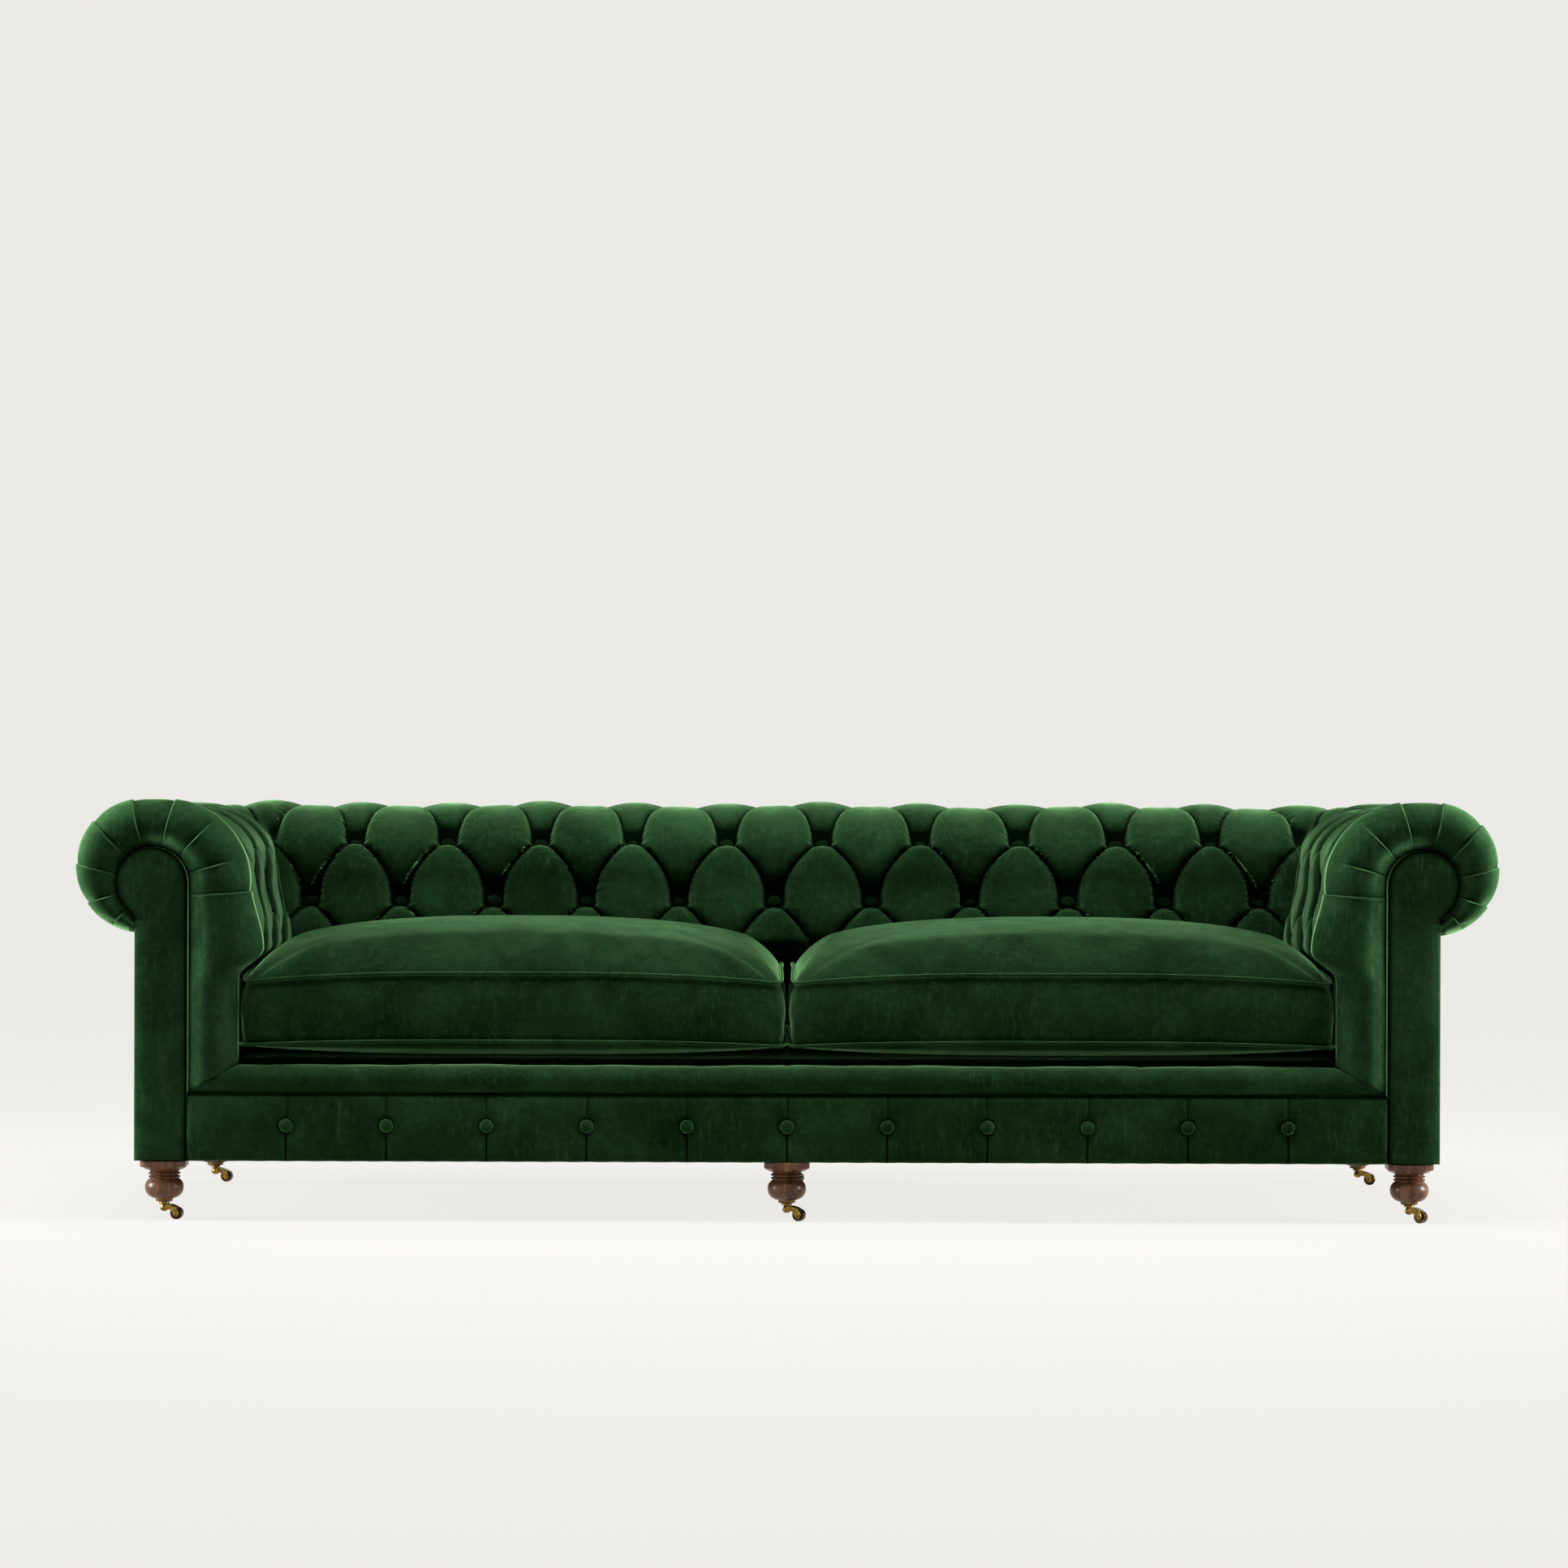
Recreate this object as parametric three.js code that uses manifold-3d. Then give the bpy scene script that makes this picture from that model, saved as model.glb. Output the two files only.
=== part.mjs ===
// Chesterfield sofa: deep-buttoned scroll arms and back, two loose cushions, turned legs on brass casters.
// Millimetres. X runs along the sofa, -Y is its front, +Z is up. The origin is on the floor under the middle.
import * as THREE from "three";
import { mergeVertices } from "three/addons/utils/BufferGeometryUtils.js";
import Module from "manifold-3d";

const wasm = await Module();
wasm.setup();

// Overall sizes
const overallWidth = 2500;
const overallDepth = 980;
const overallHeight = 739;
const clearance = 0.3;

// Scroll section, shared by the arms and the back. "Inward" is measured from the outer face.
const scrollOverhang = 107;
const scrollRadius = 118;
const rollTopInward = 50;
const shoulderInward = 200;
const shoulderDrop = 149;
const bulgeLeanShare = 11 / 13;
const bulgeHeightShare = 52 / 165;
const armThickness = 178;
const padInset = 10;
const bulgeCurveShares = [0.3, 0.35, 0.44, 0.38];

// Button grid of the tufted pads. Rows are measured along the face, up from the seat deck.
const tuftSpacing = 178.5;
const rowRise = 112;
const topRowDrop = 321;
const rollRise = 280;
const foldDepth = 17;
const pitDepth = 40;
const pleatDepth = 9;
const endTuck = 12;
const endFade = 42;
const armTuftStart = 83;
const columnsPerTuft = 4;
const endColumnShares = [0.55, 1];
const tuftRowShares = [-2, -4 / 3, -1, -1 / 3, 0, 0.3, 2 / 3, 0.84, 1];
const tackRows = 3;
const skirtRows = 2;
const skirtShare = 0.55;
const pitRowShare = 0.5;

// Buttons
const buttonRadius = 12.5;
const buttonRise = 6;
const buttonSides = 7;
const buttonSeatShare = 0.5;

// Pleated borders and flat facings at the front of the arms
const facingWidth = 92.5;
const headRadius = 63;
const headDrop = 147.5;
const pinchHeight = 9;
const pinchShare = 0.28;
const facingThickness = 8;
const facingRecess = 4;
const facingBevel = 2.5;
const borderDepth = 70;
const borderPleat = 4.5;
const pleatAngle = 30;
const pleatSpreadAngle = 5;
const headPleatCount = 8;
const rimShare = 0.5;
const headStartAngle = 225;
const outlineSteps = 240;
const headSegments = 11;
const borderSectionShares = [
  [0, 0.15],
  [0.08, 0.05],
  [0.36, 0],
  [0.7, 0.05],
  [0.92, 0.19],
  [1, 0.42],
  [1, 1],
  [0, 1],
];
const borderDropShares = [0.04, 0.1, 0.16, 0.28, 0.4, 0.5, 0.62, 0.8, 1];
const borderCreaseIndex = 1;

// Timber frame
const boardThickness = 19.7;
const panelThickness = 12;
const panelLap = 17;
const postSize = 39.7;
const railHeight = 120;
const frontRailThickness = 50;
const topRailHeight = 44.7;
const topRailOuter = 7;
const topRailInner = 52;
const topRailDropShare = 0.7;
const crossRailWidth = 36;
const crossRailHeight = 80;
const dustClothThickness = 1.7;
const dustClothMargin = 14;

// Seat springs and deck
const springWire = 4.4;
const springCount = 8;
const springSwing = 46;
const springTurns = 5;
const springLap = 8;
const tieWireCount = 2;
const deckThickness = 53.4;
const deckBevel = 8;

// Seat cushions
const cushionGap = 6;
const cushionArmGap = 3;
const cushionFront = 16;
const cushionBackGap = 14;
const undersideCrown = 27;
const boxingHeight = 114;
const topCrown = 96;
const crownPower = 2.4;
const crownFullness = 0.45;
const cornerPower = 30;
const sideDraw = 3;
const boxingBulge = 3;
const pipingTaper = 9;
const cushionCells = [14, 10];

// Front lip under the cushions and the buttoned front rail panel
const lipGap = 11;
const lipProud = 6;
const lipRound = 7;
const railPanelSetback = 4;
const railButtonSpacing = 175.4;
const railPitDepth = 9;
const railPleatDepth = 3;
const railPleatShare = 0.16;
const railRowShares = [0, 0.05, 0.3, 0.52, 0.74, 0.95, 1];
const railButtonRow = 3;
const railPanelRound = 6;
const railPitSpread = 34;

// Turned legs
const legHeight = 73;
const legBlock = 80;
const legChamfer = 14;
const legInset = 49;
const legFrontSetback = 45;
const legRearSetback = 60;
const legSides = 16;
const bunRadius = 33.5;
const neckRadius = 24.5;
const beadRadius = 28;
const footRadius = 15;
const legBlockHeightShare = 0.8;
const legProfileShares = [
  [0.72, "neck"],
  [0.67, "bead"],
  [0.61, "neck"],
  [0.56, "bead"],
  [0.5, "neck"],
  [0.42, "shoulder"],
  [0.31, "bun"],
  [0.18, "bun"],
  [0.07, "shoulder"],
  [0, "foot"],
];
const bunShoulderShare = 0.86;

// Brass casters
const casterHeight = 32;
const wheelRadius = 11;
const wheelWidth = 13;
const wheelChamfer = 2;
const wheelSides = 16;
const casterTrail = 23;
const axleRadius = 2;
const axleFit = 0.4;
const axleOverhang = 1.5;
const cheekThickness = 2.5;
const cheekGap = 0.5;
const cheekRadius = 5.5;
const hubRadius = 7.5;
const hubBottom = 16;
const hubTopGap = 1;
const spindleRadius = 4;
const spindleFit = 0.4;
const spindleHeadRadius = 6;
const spindleHeadHeight = 3;
const cupRadius = 14;
const cupThickness = 2.7;
const brassSides = 10;
const hornShares = [0.5, 0.95];
const hornSegments = 3;
const wheelArchGap = 1;
const overrun = 1;

// Turn of each caster about its upright, in degrees from +X
const casterTurns = { front_left: -10, front_centre: -20, front_right: -35 };
const rearCasterTurn = -10;

// Degrees
const fullTurn = 360;

// Colours
const velvetGreen = 0x1f4a26;
const walnutBrown = 0x5a3524;
const brassYellow = 0xa07a34;
const beechTan = 0xb08a5c;
const steelGrey = 0x70757a;
const clothBlack = 0x18181a;

// Places that follow from the sizes above
const armOuterX = overallWidth / 2 - scrollOverhang;
const backOuterY = overallDepth / 2 - scrollOverhang + padInset;
const frontY = -overallDepth / 2;
const legTop = casterHeight + legHeight;
const frameBottom = legTop + clearance;
const railTop = frameBottom + railHeight;
const springTop = railTop + clearance + springWire;
const deckBottom = springTop + clearance;
const deckTop = deckBottom + deckThickness;
const cushionBottom = deckTop + clearance;
const lowerPiping = cushionBottom + undersideCrown;
const upperPiping = lowerPiping + boxingHeight;
const lipBottom = railTop + clearance;
const lipTop = cushionBottom - lipGap;
const scrollCentreInward = scrollRadius - scrollOverhang;
const scrollCentreHeight = overallHeight - scrollRadius;
const tackInward = -clearance;
const tackDrop = Math.sqrt(scrollRadius ** 2 - (scrollCentreInward - tackInward) ** 2);
const tackHeight = scrollCentreHeight - tackDrop;
const panelTop = tackHeight + panelLap;
const headCentre = new THREE.Vector2(facingWidth - headRadius, overallHeight - headDrop);
const topRailBottom = headCentre.y - topRailHeight * topRailDropShare;
const topRailTop = topRailBottom + topRailHeight;
const facingBackY = frontY + facingRecess + facingThickness;
const boardFrontY = facingBackY + clearance;
const boardBackY = boardFrontY + boardThickness;
const borderBackY = frontY + borderDepth;
const frameFrontY = boardBackY + clearance;
const railInward = panelThickness + clearance;
const railInnerInward = railInward + postSize;
const padFaceInward = armThickness - padInset;
const topRowUp = overallHeight - topRowDrop;
const armTuftOrigin = backOuterY - armThickness - armTuftStart;
const armTuftReach = Math.floor((armTuftOrigin - borderBackY) / tuftSpacing);
const backTuftReach = Math.floor((armOuterX - armThickness) / tuftSpacing);

// Geometry from points and triangles, turned so that its faces look outwards
function closedSurface(points, triangles) {
  const corner = triangles.map((triangle) => triangle.map((index) => points[index]));
  const volume = corner.reduce((sum, [a, b, c]) => sum + a.dot(b.clone().cross(c)), 0);
  const outward = volume < 0 ? triangles.map(([a, b, c]) => [a, c, b]) : triangles;
  const geometry = new THREE.BufferGeometry().setFromPoints(points);
  geometry.setIndex(outward.flat());
  return geometry;
}

// Triangles that fill a ring, all wound the way that the ring runs
function fillRing(ring, flatten) {
  const outline = ring.map(flatten);
  const ringArea = THREE.ShapeUtils.area(outline);
  return THREE.ShapeUtils.triangulateShape(outline, []).map(([a, b, c]) => {
    const area = THREE.ShapeUtils.area([outline[a], outline[b], outline[c]]);
    return area * ringArea < 0 ? [a, c, b] : [a, b, c];
  });
}

// A solid lofted through closed rings of equal point count. "sunk" gives each point's depth below the crest,
// and a cell is split along its deeper diagonal, so that folds stay sharp.
function loft(rings, flatten, sunk = () => 0) {
  const size = rings[0].length;
  const triangles = fillRing(rings[0], flatten).map(([a, b, c]) => [a, c, b]);
  rings.slice(1).forEach((_, k) => {
    for (let i = 0; i < size; i += 1) {
      const j = (i + 1) % size;
      const [a, b, c, d] = [k * size + i, k * size + j, (k + 1) * size + i, (k + 1) * size + j];
      const deeper = sunk(k, i) + sunk(k + 1, j) >= sunk(k, j) + sunk(k + 1, i);
      triangles.push(...(deeper ? [[a, b, d], [a, d, c]] : [[a, b, c], [b, d, c]]));
    }
  });
  const last = (rings.length - 1) * size;
  fillRing(rings.at(-1), flatten).forEach((triangle) => {
    triangles.push(triangle.map((index) => last + index));
  });
  return closedSurface(rings.flat(), triangles);
}

// A geometry as a solid that can be joined and cut, and back again
function solidOf(geometry) {
  const bare = geometry.clone().deleteAttribute("normal").deleteAttribute("uv");
  const merged = mergeVertices(bare);
  const vertProperties = Float32Array.from(merged.attributes.position.array);
  const triVerts = Uint32Array.from(merged.index.array);
  return new wasm.Manifold(new wasm.Mesh({ numProp: 3, vertProperties, triVerts }));
}

function geometryOf(solid) {
  const { vertProperties, triVerts } = solid.getMesh();
  const geometry = new THREE.BufferGeometry();
  geometry.setAttribute("position", new THREE.BufferAttribute(vertProperties, 3));
  geometry.setIndex(new THREE.BufferAttribute(triVerts, 1));
  return geometry;
}

const joined = (geometries) => geometryOf(geometries.map(solidOf).reduce((whole, next) => whole.add(next)));
const cutBy = (geometry, tools) =>
  geometryOf(tools.map(solidOf).reduce((whole, tool) => whole.subtract(tool), solidOf(geometry)));

// A board or bar between two corners
function board(low, high) {
  const size = high.map((value, axis) => value - low[axis]);
  const middle = high.map((value, axis) => (value + low[axis]) / 2);
  return new THREE.BoxGeometry(...size).translate(...middle);
}

// A closed outline of [across, up] points or a shape, extruded towards the back from frontFace
function uprightSlab(shape, frontFace, thickness, bevel = 0) {
  const geometry = new THREE.ExtrudeGeometry(shape, {
    depth: thickness - 2 * bevel,
    bevelEnabled: bevel > 0,
    bevelThickness: bevel,
    bevelSize: bevel,
    bevelOffset: -bevel,
    bevelSegments: 1,
    curveSegments: headSegments,
  });
  return geometry.translate(0, 0, bevel - thickness - frontFace).rotateX(Math.PI / 2);
}

// An outline in plan, extruded upwards
function flatSlab(shape, bottom, thickness) {
  return new THREE.ExtrudeGeometry(shape, { depth: thickness, bevelEnabled: false }).translate(0, 0, bottom);
}

// Materials
const upholstery = () => new THREE.MeshStandardMaterial({ color: velvetGreen, roughness: 0.9 });
const walnut = () => new THREE.MeshStandardMaterial({ color: walnutBrown, roughness: 0.35 });
const brass = () => new THREE.MeshStandardMaterial({ color: brassYellow, roughness: 0.3, metalness: 1 });
const timber = () => new THREE.MeshStandardMaterial({ color: beechTan, roughness: 0.7 });
const steel = () => new THREE.MeshStandardMaterial({ color: steelGrey, roughness: 0.4, metalness: 1 });
const blackCloth = () => new THREE.MeshStandardMaterial({ color: clothBlack, roughness: 1 });

function piece(name, geometry, material) {
  const mesh = new THREE.Mesh(geometry, material);
  mesh.name = name;
  return mesh;
}

// The scroll's outline as [inward, up], from the tack line under the roll, over the top and down to the deck
function scrollPath(inset, bottom) {
  const radius = scrollRadius - inset;
  const top = overallHeight - inset;
  const startAngle = -Math.PI / 2 - Math.asin((scrollCentreInward - tackInward) / radius);
  const shoulderHeight = overallHeight - shoulderDrop;
  const bulgeHeight = THREE.MathUtils.lerp(upperPiping, shoulderHeight, bulgeHeightShare);
  const upperRise = shoulderHeight - bulgeHeight;
  const lowerRise = bulgeHeight - upperPiping;
  const [base, shoulder] = [armThickness - inset, shoulderInward - inset];
  const bulge = base + lowerRise * bulgeLeanShare;
  const [leaveShoulder, meetBulge, leaveBulge, meetBase] = bulgeCurveShares;
  const path = new THREE.Path();
  path.absarc(scrollCentreInward, scrollCentreHeight, radius, startAngle, (-3 * Math.PI) / 2, true);
  path.lineTo(rollTopInward, top);
  const [across, drop] = [shoulder - rollTopInward, top - shoulderHeight];
  path.absellipse(rollTopInward, shoulderHeight, across, drop, Math.PI / 2, 0, true);
  path.bezierCurveTo(
    shoulder, shoulderHeight - leaveShoulder * upperRise,
    bulge, bulgeHeight + meetBulge * upperRise,
    bulge, bulgeHeight,
  );
  path.bezierCurveTo(
    bulge, bulgeHeight - leaveBulge * lowerRise,
    base, upperPiping + meetBase * lowerRise,
    base, upperPiping,
  );
  path.lineTo(base, bottom);
  return path;
}

// The keyhole outline of the facing and its board as [inward, up]: straight sides below a round head
function keyholePath(outer, grow) {
  const radius = headRadius + grow;
  const startAngle = THREE.MathUtils.degToRad(headStartAngle);
  const neck = new THREE.Vector2(radius, 0).rotateAround(new THREE.Vector2(), startAngle).add(headCentre);
  const pinch = headCentre.y - Math.sqrt(radius ** 2 - (headCentre.x - outer) ** 2) - pinchHeight;
  const path = new THREE.Path();
  path.moveTo(outer, frameBottom);
  path.lineTo(outer, pinch);
  path.quadraticCurveTo(outer, THREE.MathUtils.lerp(pinch, neck.y, pinchShare), neck.x, neck.y);
  path.absarc(headCentre.x, headCentre.y, radius, startAngle, 0, true);
  path.lineTo(facingWidth + grow, frameBottom);
  return path;
}

const smooth = (share) => THREE.MathUtils.smoothstep(share, 0, 1);

// How far the cover is drawn in at u tufts along and v rows above the top row of buttons. Folds run where p
// or q is zero and meet at the buttons; they leave a button flat and fall steeply to the row below.
function tuftSink(u, v) {
  const upper = Math.ceil(v);
  const fall = upper - Math.sin(((upper - v) * Math.PI) / 2);
  const p = Math.abs(Math.sin(Math.PI * (u - 0.5 + fall / 2)));
  const q = Math.abs(Math.sin(Math.PI * (u - 0.5 - fall / 2)));
  if (v >= 1) return pleatDepth * (1 - Math.sqrt(Math.abs(Math.sin(Math.PI * u))));
  const fold = foldDepth * (1 - Math.sqrt(Math.min(p, q)));
  const pit = (pitDepth - foldDepth) * (1 - Math.max(p, q)) ** 2;
  const kept = THREE.MathUtils.clamp(1 + (v + skirtRows) * skirtShare, 0, 1);
  const calmed = v > 0 ? THREE.MathUtils.lerp(1, pleatDepth / foldDepth, smooth(v)) : 1;
  return (fold * calmed + (v > pitRowShare ? 0 : pit)) * kept;
}

// Distances along the pad's face, up from the deck, at which its rings have points
function faceStops(length) {
  const rowUp = (v) => topRowUp + v * (v > 0 ? rollRise : rowRise);
  const tuftStops = tuftRowShares.map(rowUp);
  const last = tuftStops.at(-1);
  const tackStops = Array.from({ length: tackRows }, (_, k) => last + ((length - last) * (k + 1)) / tackRows);
  return [0, tuftStops[0] / 2, ...tuftStops, ...tackStops];
}

// Columns of a pad: fixed ones, and a few that spread to each end, whose place depends on the distance inward
function padColumns(fixed, lowEnd, highEnd) {
  const spread = (from, end) =>
    endColumnShares.map((share) => (inward) => THREE.MathUtils.lerp(from, end(inward), share));
  const middle = fixed.map((along) => () => along);
  return [...spread(fixed[0], lowEnd).reverse(), ...middle, ...spread(fixed.at(-1), highEnd)];
}

// A button as a low cone on the face at a point, looking along its normal
function button(point, normal) {
  const seat = buttonRise * buttonSeatShare;
  const profile = [[0, -seat], [buttonRadius, 0], [0, buttonRise]];
  const dome = new THREE.LatheGeometry(profile.map(([x, y]) => new THREE.Vector2(x, y)), buttonSides);
  dome.applyQuaternion(new THREE.Quaternion().setFromUnitVectors(new THREE.Vector3(0, 1, 0), normal));
  return dome.translate(point.x, point.y, point.z);
}

// A tufted scroll pad. toSpace turns (inward, along, up) into the part's own axes.
function scrollPad({ columns, lowEnd, highEnd, tuftOrigin, buttonsAt, toSpace, flatten }) {
  const path = scrollPath(padInset, deckBottom);
  const length = path.getLength();
  const stops = faceStops(length).reverse();
  const spot = (up) => {
    const point = path.getPoint(1 - up / length);
    const tangent = path.getTangent(1 - up / length);
    return { point, outward: new THREE.Vector2(-tangent.y, tangent.x) };
  };
  const rowOf = (up) => (up - topRowUp) / (up > topRowUp ? rollRise : rowRise);
  const sinkAt = (column, up) => {
    const { point } = spot(up);
    const along = column(point.x);
    const fromEnd = Math.min(highEnd(point.x) - along, along - lowEnd(point.x));
    const sink = tuftSink((along - tuftOrigin) / tuftSpacing, rowOf(up));
    return THREE.MathUtils.lerp(endTuck, sink, smooth(fromEnd / endFade));
  };
  const facePoint = (column, up, sink) => {
    const { point, outward } = spot(up);
    const drawn = point.clone().addScaledVector(outward, -sink);
    return { point: toSpace(drawn.x, column(drawn.x), drawn.y), outward };
  };
  const lining = [
    [topRailInner + clearance, deckBottom],
    [topRailInner + clearance, topRailTop + clearance],
    [topRailOuter - clearance, topRailTop + clearance],
    [topRailOuter - clearance, panelTop + clearance],
    [tackInward, panelTop + clearance],
  ];
  const rings = columns.map((column) => [
    ...stops.map((up) => facePoint(column, up, up > 0 && up < length ? sinkAt(column, up) : 0).point),
    ...lining.map(([inward, up]) => toSpace(inward, column(inward), up)),
  ]);
  const sunk = (k, i) => (i < stops.length ? sinkAt(columns[k], stops[i]) : 0);
  const domes = buttonsAt.map(([u, v]) => {
    const column = () => tuftOrigin + u * tuftSpacing;
    const up = topRowUp + v * rowRise;
    const { point, outward } = facePoint(column, up, sinkAt(column, up));
    const normal = toSpace(outward.x, 0, outward.y).sub(toSpace(0, 0, 0)).normalize();
    return button(point, normal);
  });
  return joined([loft(rings, flatten, sunk), ...domes]);
}

// Where a ray from the head's centre, at an angle in degrees, meets a line of points round it
function onRay(points, angle) {
  const turned = points.map((point) => {
    const { x, y } = point.clone().sub(headCentre);
    const seen = THREE.MathUtils.radToDeg(Math.atan2(y, x));
    return x < 0 && y < 0 ? seen + fullTurn : seen;
  });
  const k = Math.max(1, turned.findIndex((seen) => seen <= angle));
  const share = (turned[k - 1] - angle) / (turned[k - 1] - turned[k]);
  return points[k - 1].clone().lerp(points[k], THREE.MathUtils.clamp(share, 0, 1));
}

// The lowest point of a line that lies at a height
function atHeight(points, height) {
  const last = points.length - 1;
  const k = last - points.slice().reverse().findIndex((point) => point.y >= height);
  if (k >= last) return points[last].clone();
  return points[k].clone().lerp(points[k + 1], (points[k].y - height) / (points[k].y - points[k + 1].y));
}

// Pairs of seam and rim points round the border, with how deep the cover is pleated there
function borderStations() {
  const seam = keyholePath(tackInward, clearance).getSpacedPoints(outlineSteps);
  const rim = scrollPath(0, lipTop).getSpacedPoints(outlineSteps);
  const pinch = seam.findIndex((point) => point.x < tackInward - clearance) - 1;
  const seamRound = seam.slice(Math.max(0, pinch));
  const stations = [{ seam: seamRound[0], rim: rim[0], pleat: 0 }];
  const steps = [0, pleatSpreadAngle, pleatAngle / 2, pleatAngle - pleatSpreadAngle];
  for (let k = 0; k < headPleatCount; k += 1) {
    const angle = headStartAngle - k * pleatAngle;
    steps.filter((step) => step <= angle).forEach((step) => {
      const [seamPoint, rimPoint] = [onRay(seamRound, angle - step), onRay(rim, angle - step)];
      stations.push({ seam: seamPoint, rim: rimPoint, pleat: step === 0 ? 1 : 0 });
    });
  }
  const seamFoot = lipBottom + clearance;
  borderDropShares.forEach((share, k) => {
    const seamHeight = THREE.MathUtils.lerp(headCentre.y, seamFoot, share);
    const rimHeight = THREE.MathUtils.lerp(headCentre.y, lipTop + clearance, share);
    const pleat = k === borderCreaseIndex ? 1 : 0;
    stations.push({
      seam: new THREE.Vector2(facingWidth + clearance, seamHeight),
      rim: new THREE.Vector2(atHeight(rim, rimHeight).x, rimHeight),
      pleat,
    });
  });
  return stations;
}

// Padded border round the facing: a rounded section that follows the stations, nicked at each pleat
function armBorder() {
  const rings = borderStations().map(({ seam, rim, pleat }) =>
    borderSectionShares.map(([out, back]) => {
      const depth = back < 1 ? pleat * borderPleat : 0;
      const nick = out > rimShare ? depth / seam.distanceTo(rim) : 0;
      const point = seam.clone().lerp(rim, out * (1 - nick));
      const sunk = depth * Math.sin(Math.PI * Math.min(1, out + back / 2));
      return new THREE.Vector3(armOuterX - point.x, frontY + back * borderDepth + sunk, point.y);
    }),
  );
  return loft(rings, (point) => new THREE.Vector2(point.y, point.z));
}

// One scroll arm at +X; the other is its mirror image
function arm(side) {
  const group = new THREE.Group();
  const facingShape = new THREE.Shape(keyholePath(0, 0).getPoints(headSegments));
  const boardShape = new THREE.Shape(keyholePath(railInward, 0).getPoints(headSegments));
  const facing = uprightSlab(facingShape, frontY + facingRecess, facingThickness, facingBevel);
  const frontBoard = uprightSlab(boardShape, boardFrontY, boardThickness);
  const inward = new THREE.Group();
  inward.position.x = armOuterX;
  inward.scale.x = -1;
  inward.add(
    piece(`arm_facing_${side}`, facing, upholstery()),
    piece(`arm_front_board_${side}`, frontBoard, timber()),
  );

  const lowEnd = () => borderBackY + clearance;
  const highEnd = (inwardAt) => backOuterY - inwardAt - clearance;
  const pad = scrollPad({
    columns: padColumns(tuftColumns(armTuftOrigin, -armTuftReach, 0), lowEnd, highEnd),
    lowEnd,
    highEnd,
    tuftOrigin: armTuftOrigin,
    buttonsAt: buttonSpots(-armTuftReach + 1, 0, -armTuftReach, 0),
    toSpace: (inwardAt, along, up) => new THREE.Vector3(armOuterX - inwardAt, along, up),
    flatten: (point) => new THREE.Vector2(point.x, point.z),
  });
  const outsidePanel = board(
    [armOuterX - panelThickness, boardFrontY, frameBottom],
    [armOuterX, backOuterY - panelThickness - clearance, panelTop],
  );
  const sideRail = board(
    [armOuterX - railInnerInward, frameFrontY, frameBottom],
    [armOuterX - railInward, backOuterY - railInnerInward - clearance, railTop],
  );
  const topRail = board(
    [armOuterX - topRailInner, frameFrontY, topRailBottom],
    [armOuterX - topRailOuter, backOuterY - topRailOuter, topRailTop],
  );
  const post = board(
    [armOuterX - railInnerInward, backOuterY - railInnerInward, frameBottom],
    [armOuterX - railInward, backOuterY - railInward, topRailBottom - clearance],
  );
  group.add(
    inward,
    piece(`arm_pad_${side}`, pad, upholstery()),
    piece(`arm_border_${side}`, armBorder(), upholstery()),
    piece(`outside_arm_${side}`, outsidePanel, upholstery()),
    piece(`base_side_rail_${side}`, sideRail, timber()),
    piece(`arm_top_rail_${side}`, topRail, timber()),
    piece(`back_post_${side}`, post, timber()),
  );
  return group;
}

// Fixed columns of a pad from one tuft to another
function tuftColumns(origin, first, last) {
  const count = (last - first) * columnsPerTuft + 1;
  return Array.from({ length: count }, (_, k) => origin + (first + k / columnsPerTuft) * tuftSpacing);
}

// Buttons of a pad as [tufts along, rows up]: half positions in the top row, whole ones in the row below. The
// cushions hide the rows further down, where the cover is drawn in without a button.
function buttonSpots(firstWhole, lastWhole, firstHalf, lastHalf) {
  const run = (first, last, row, shift) =>
    Array.from({ length: last - first + 1 - 2 * shift }, (_, k) => [first + k + shift, row]);
  return [...run(firstHalf, lastHalf, 0, 0.5), ...run(firstWhole, lastWhole, -1, 0)];
}

// The scroll back with its outside panel and rails
function back() {
  const group = new THREE.Group();
  const halfAt = (inwardAt) => armOuterX - inwardAt - clearance;
  const lowEnd = (inwardAt) => -halfAt(inwardAt);
  const pad = scrollPad({
    columns: padColumns(tuftColumns(0, -backTuftReach, backTuftReach), lowEnd, halfAt),
    lowEnd,
    highEnd: halfAt,
    tuftOrigin: 0,
    buttonsAt: buttonSpots(-backTuftReach, backTuftReach, -backTuftReach, backTuftReach),
    toSpace: (inwardAt, along, up) => new THREE.Vector3(along, backOuterY - inwardAt, up),
    flatten: (point) => new THREE.Vector2(point.y, point.z),
  });
  const railEndX = armOuterX - railInnerInward - clearance;
  const topEndX = armOuterX - topRailInner - clearance;
  const outsidePanel = board(
    [-armOuterX, backOuterY - panelThickness, frameBottom],
    [armOuterX, backOuterY, panelTop],
  );
  const topRail = board(
    [-topEndX, backOuterY - topRailInner, topRailBottom],
    [topEndX, backOuterY - topRailOuter, topRailTop],
  );
  const backRail = board(
    [-railEndX, backOuterY - railInnerInward, frameBottom],
    [railEndX, backOuterY - railInward, railTop],
  );
  const centrePost = board(
    [-postSize / 2, backOuterY - railInnerInward, railTop + clearance],
    [postSize / 2, backOuterY - railInward, topRailBottom - clearance],
  );
  group.add(
    piece("back_pad", pad, upholstery()),
    piece("outside_back", outsidePanel, upholstery()),
    piece("back_top_rail", topRail, timber()),
    piece("base_back_rail", backRail, timber()),
    piece("back_centre_post", centrePost, timber()),
  );
  return group;
}

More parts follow.
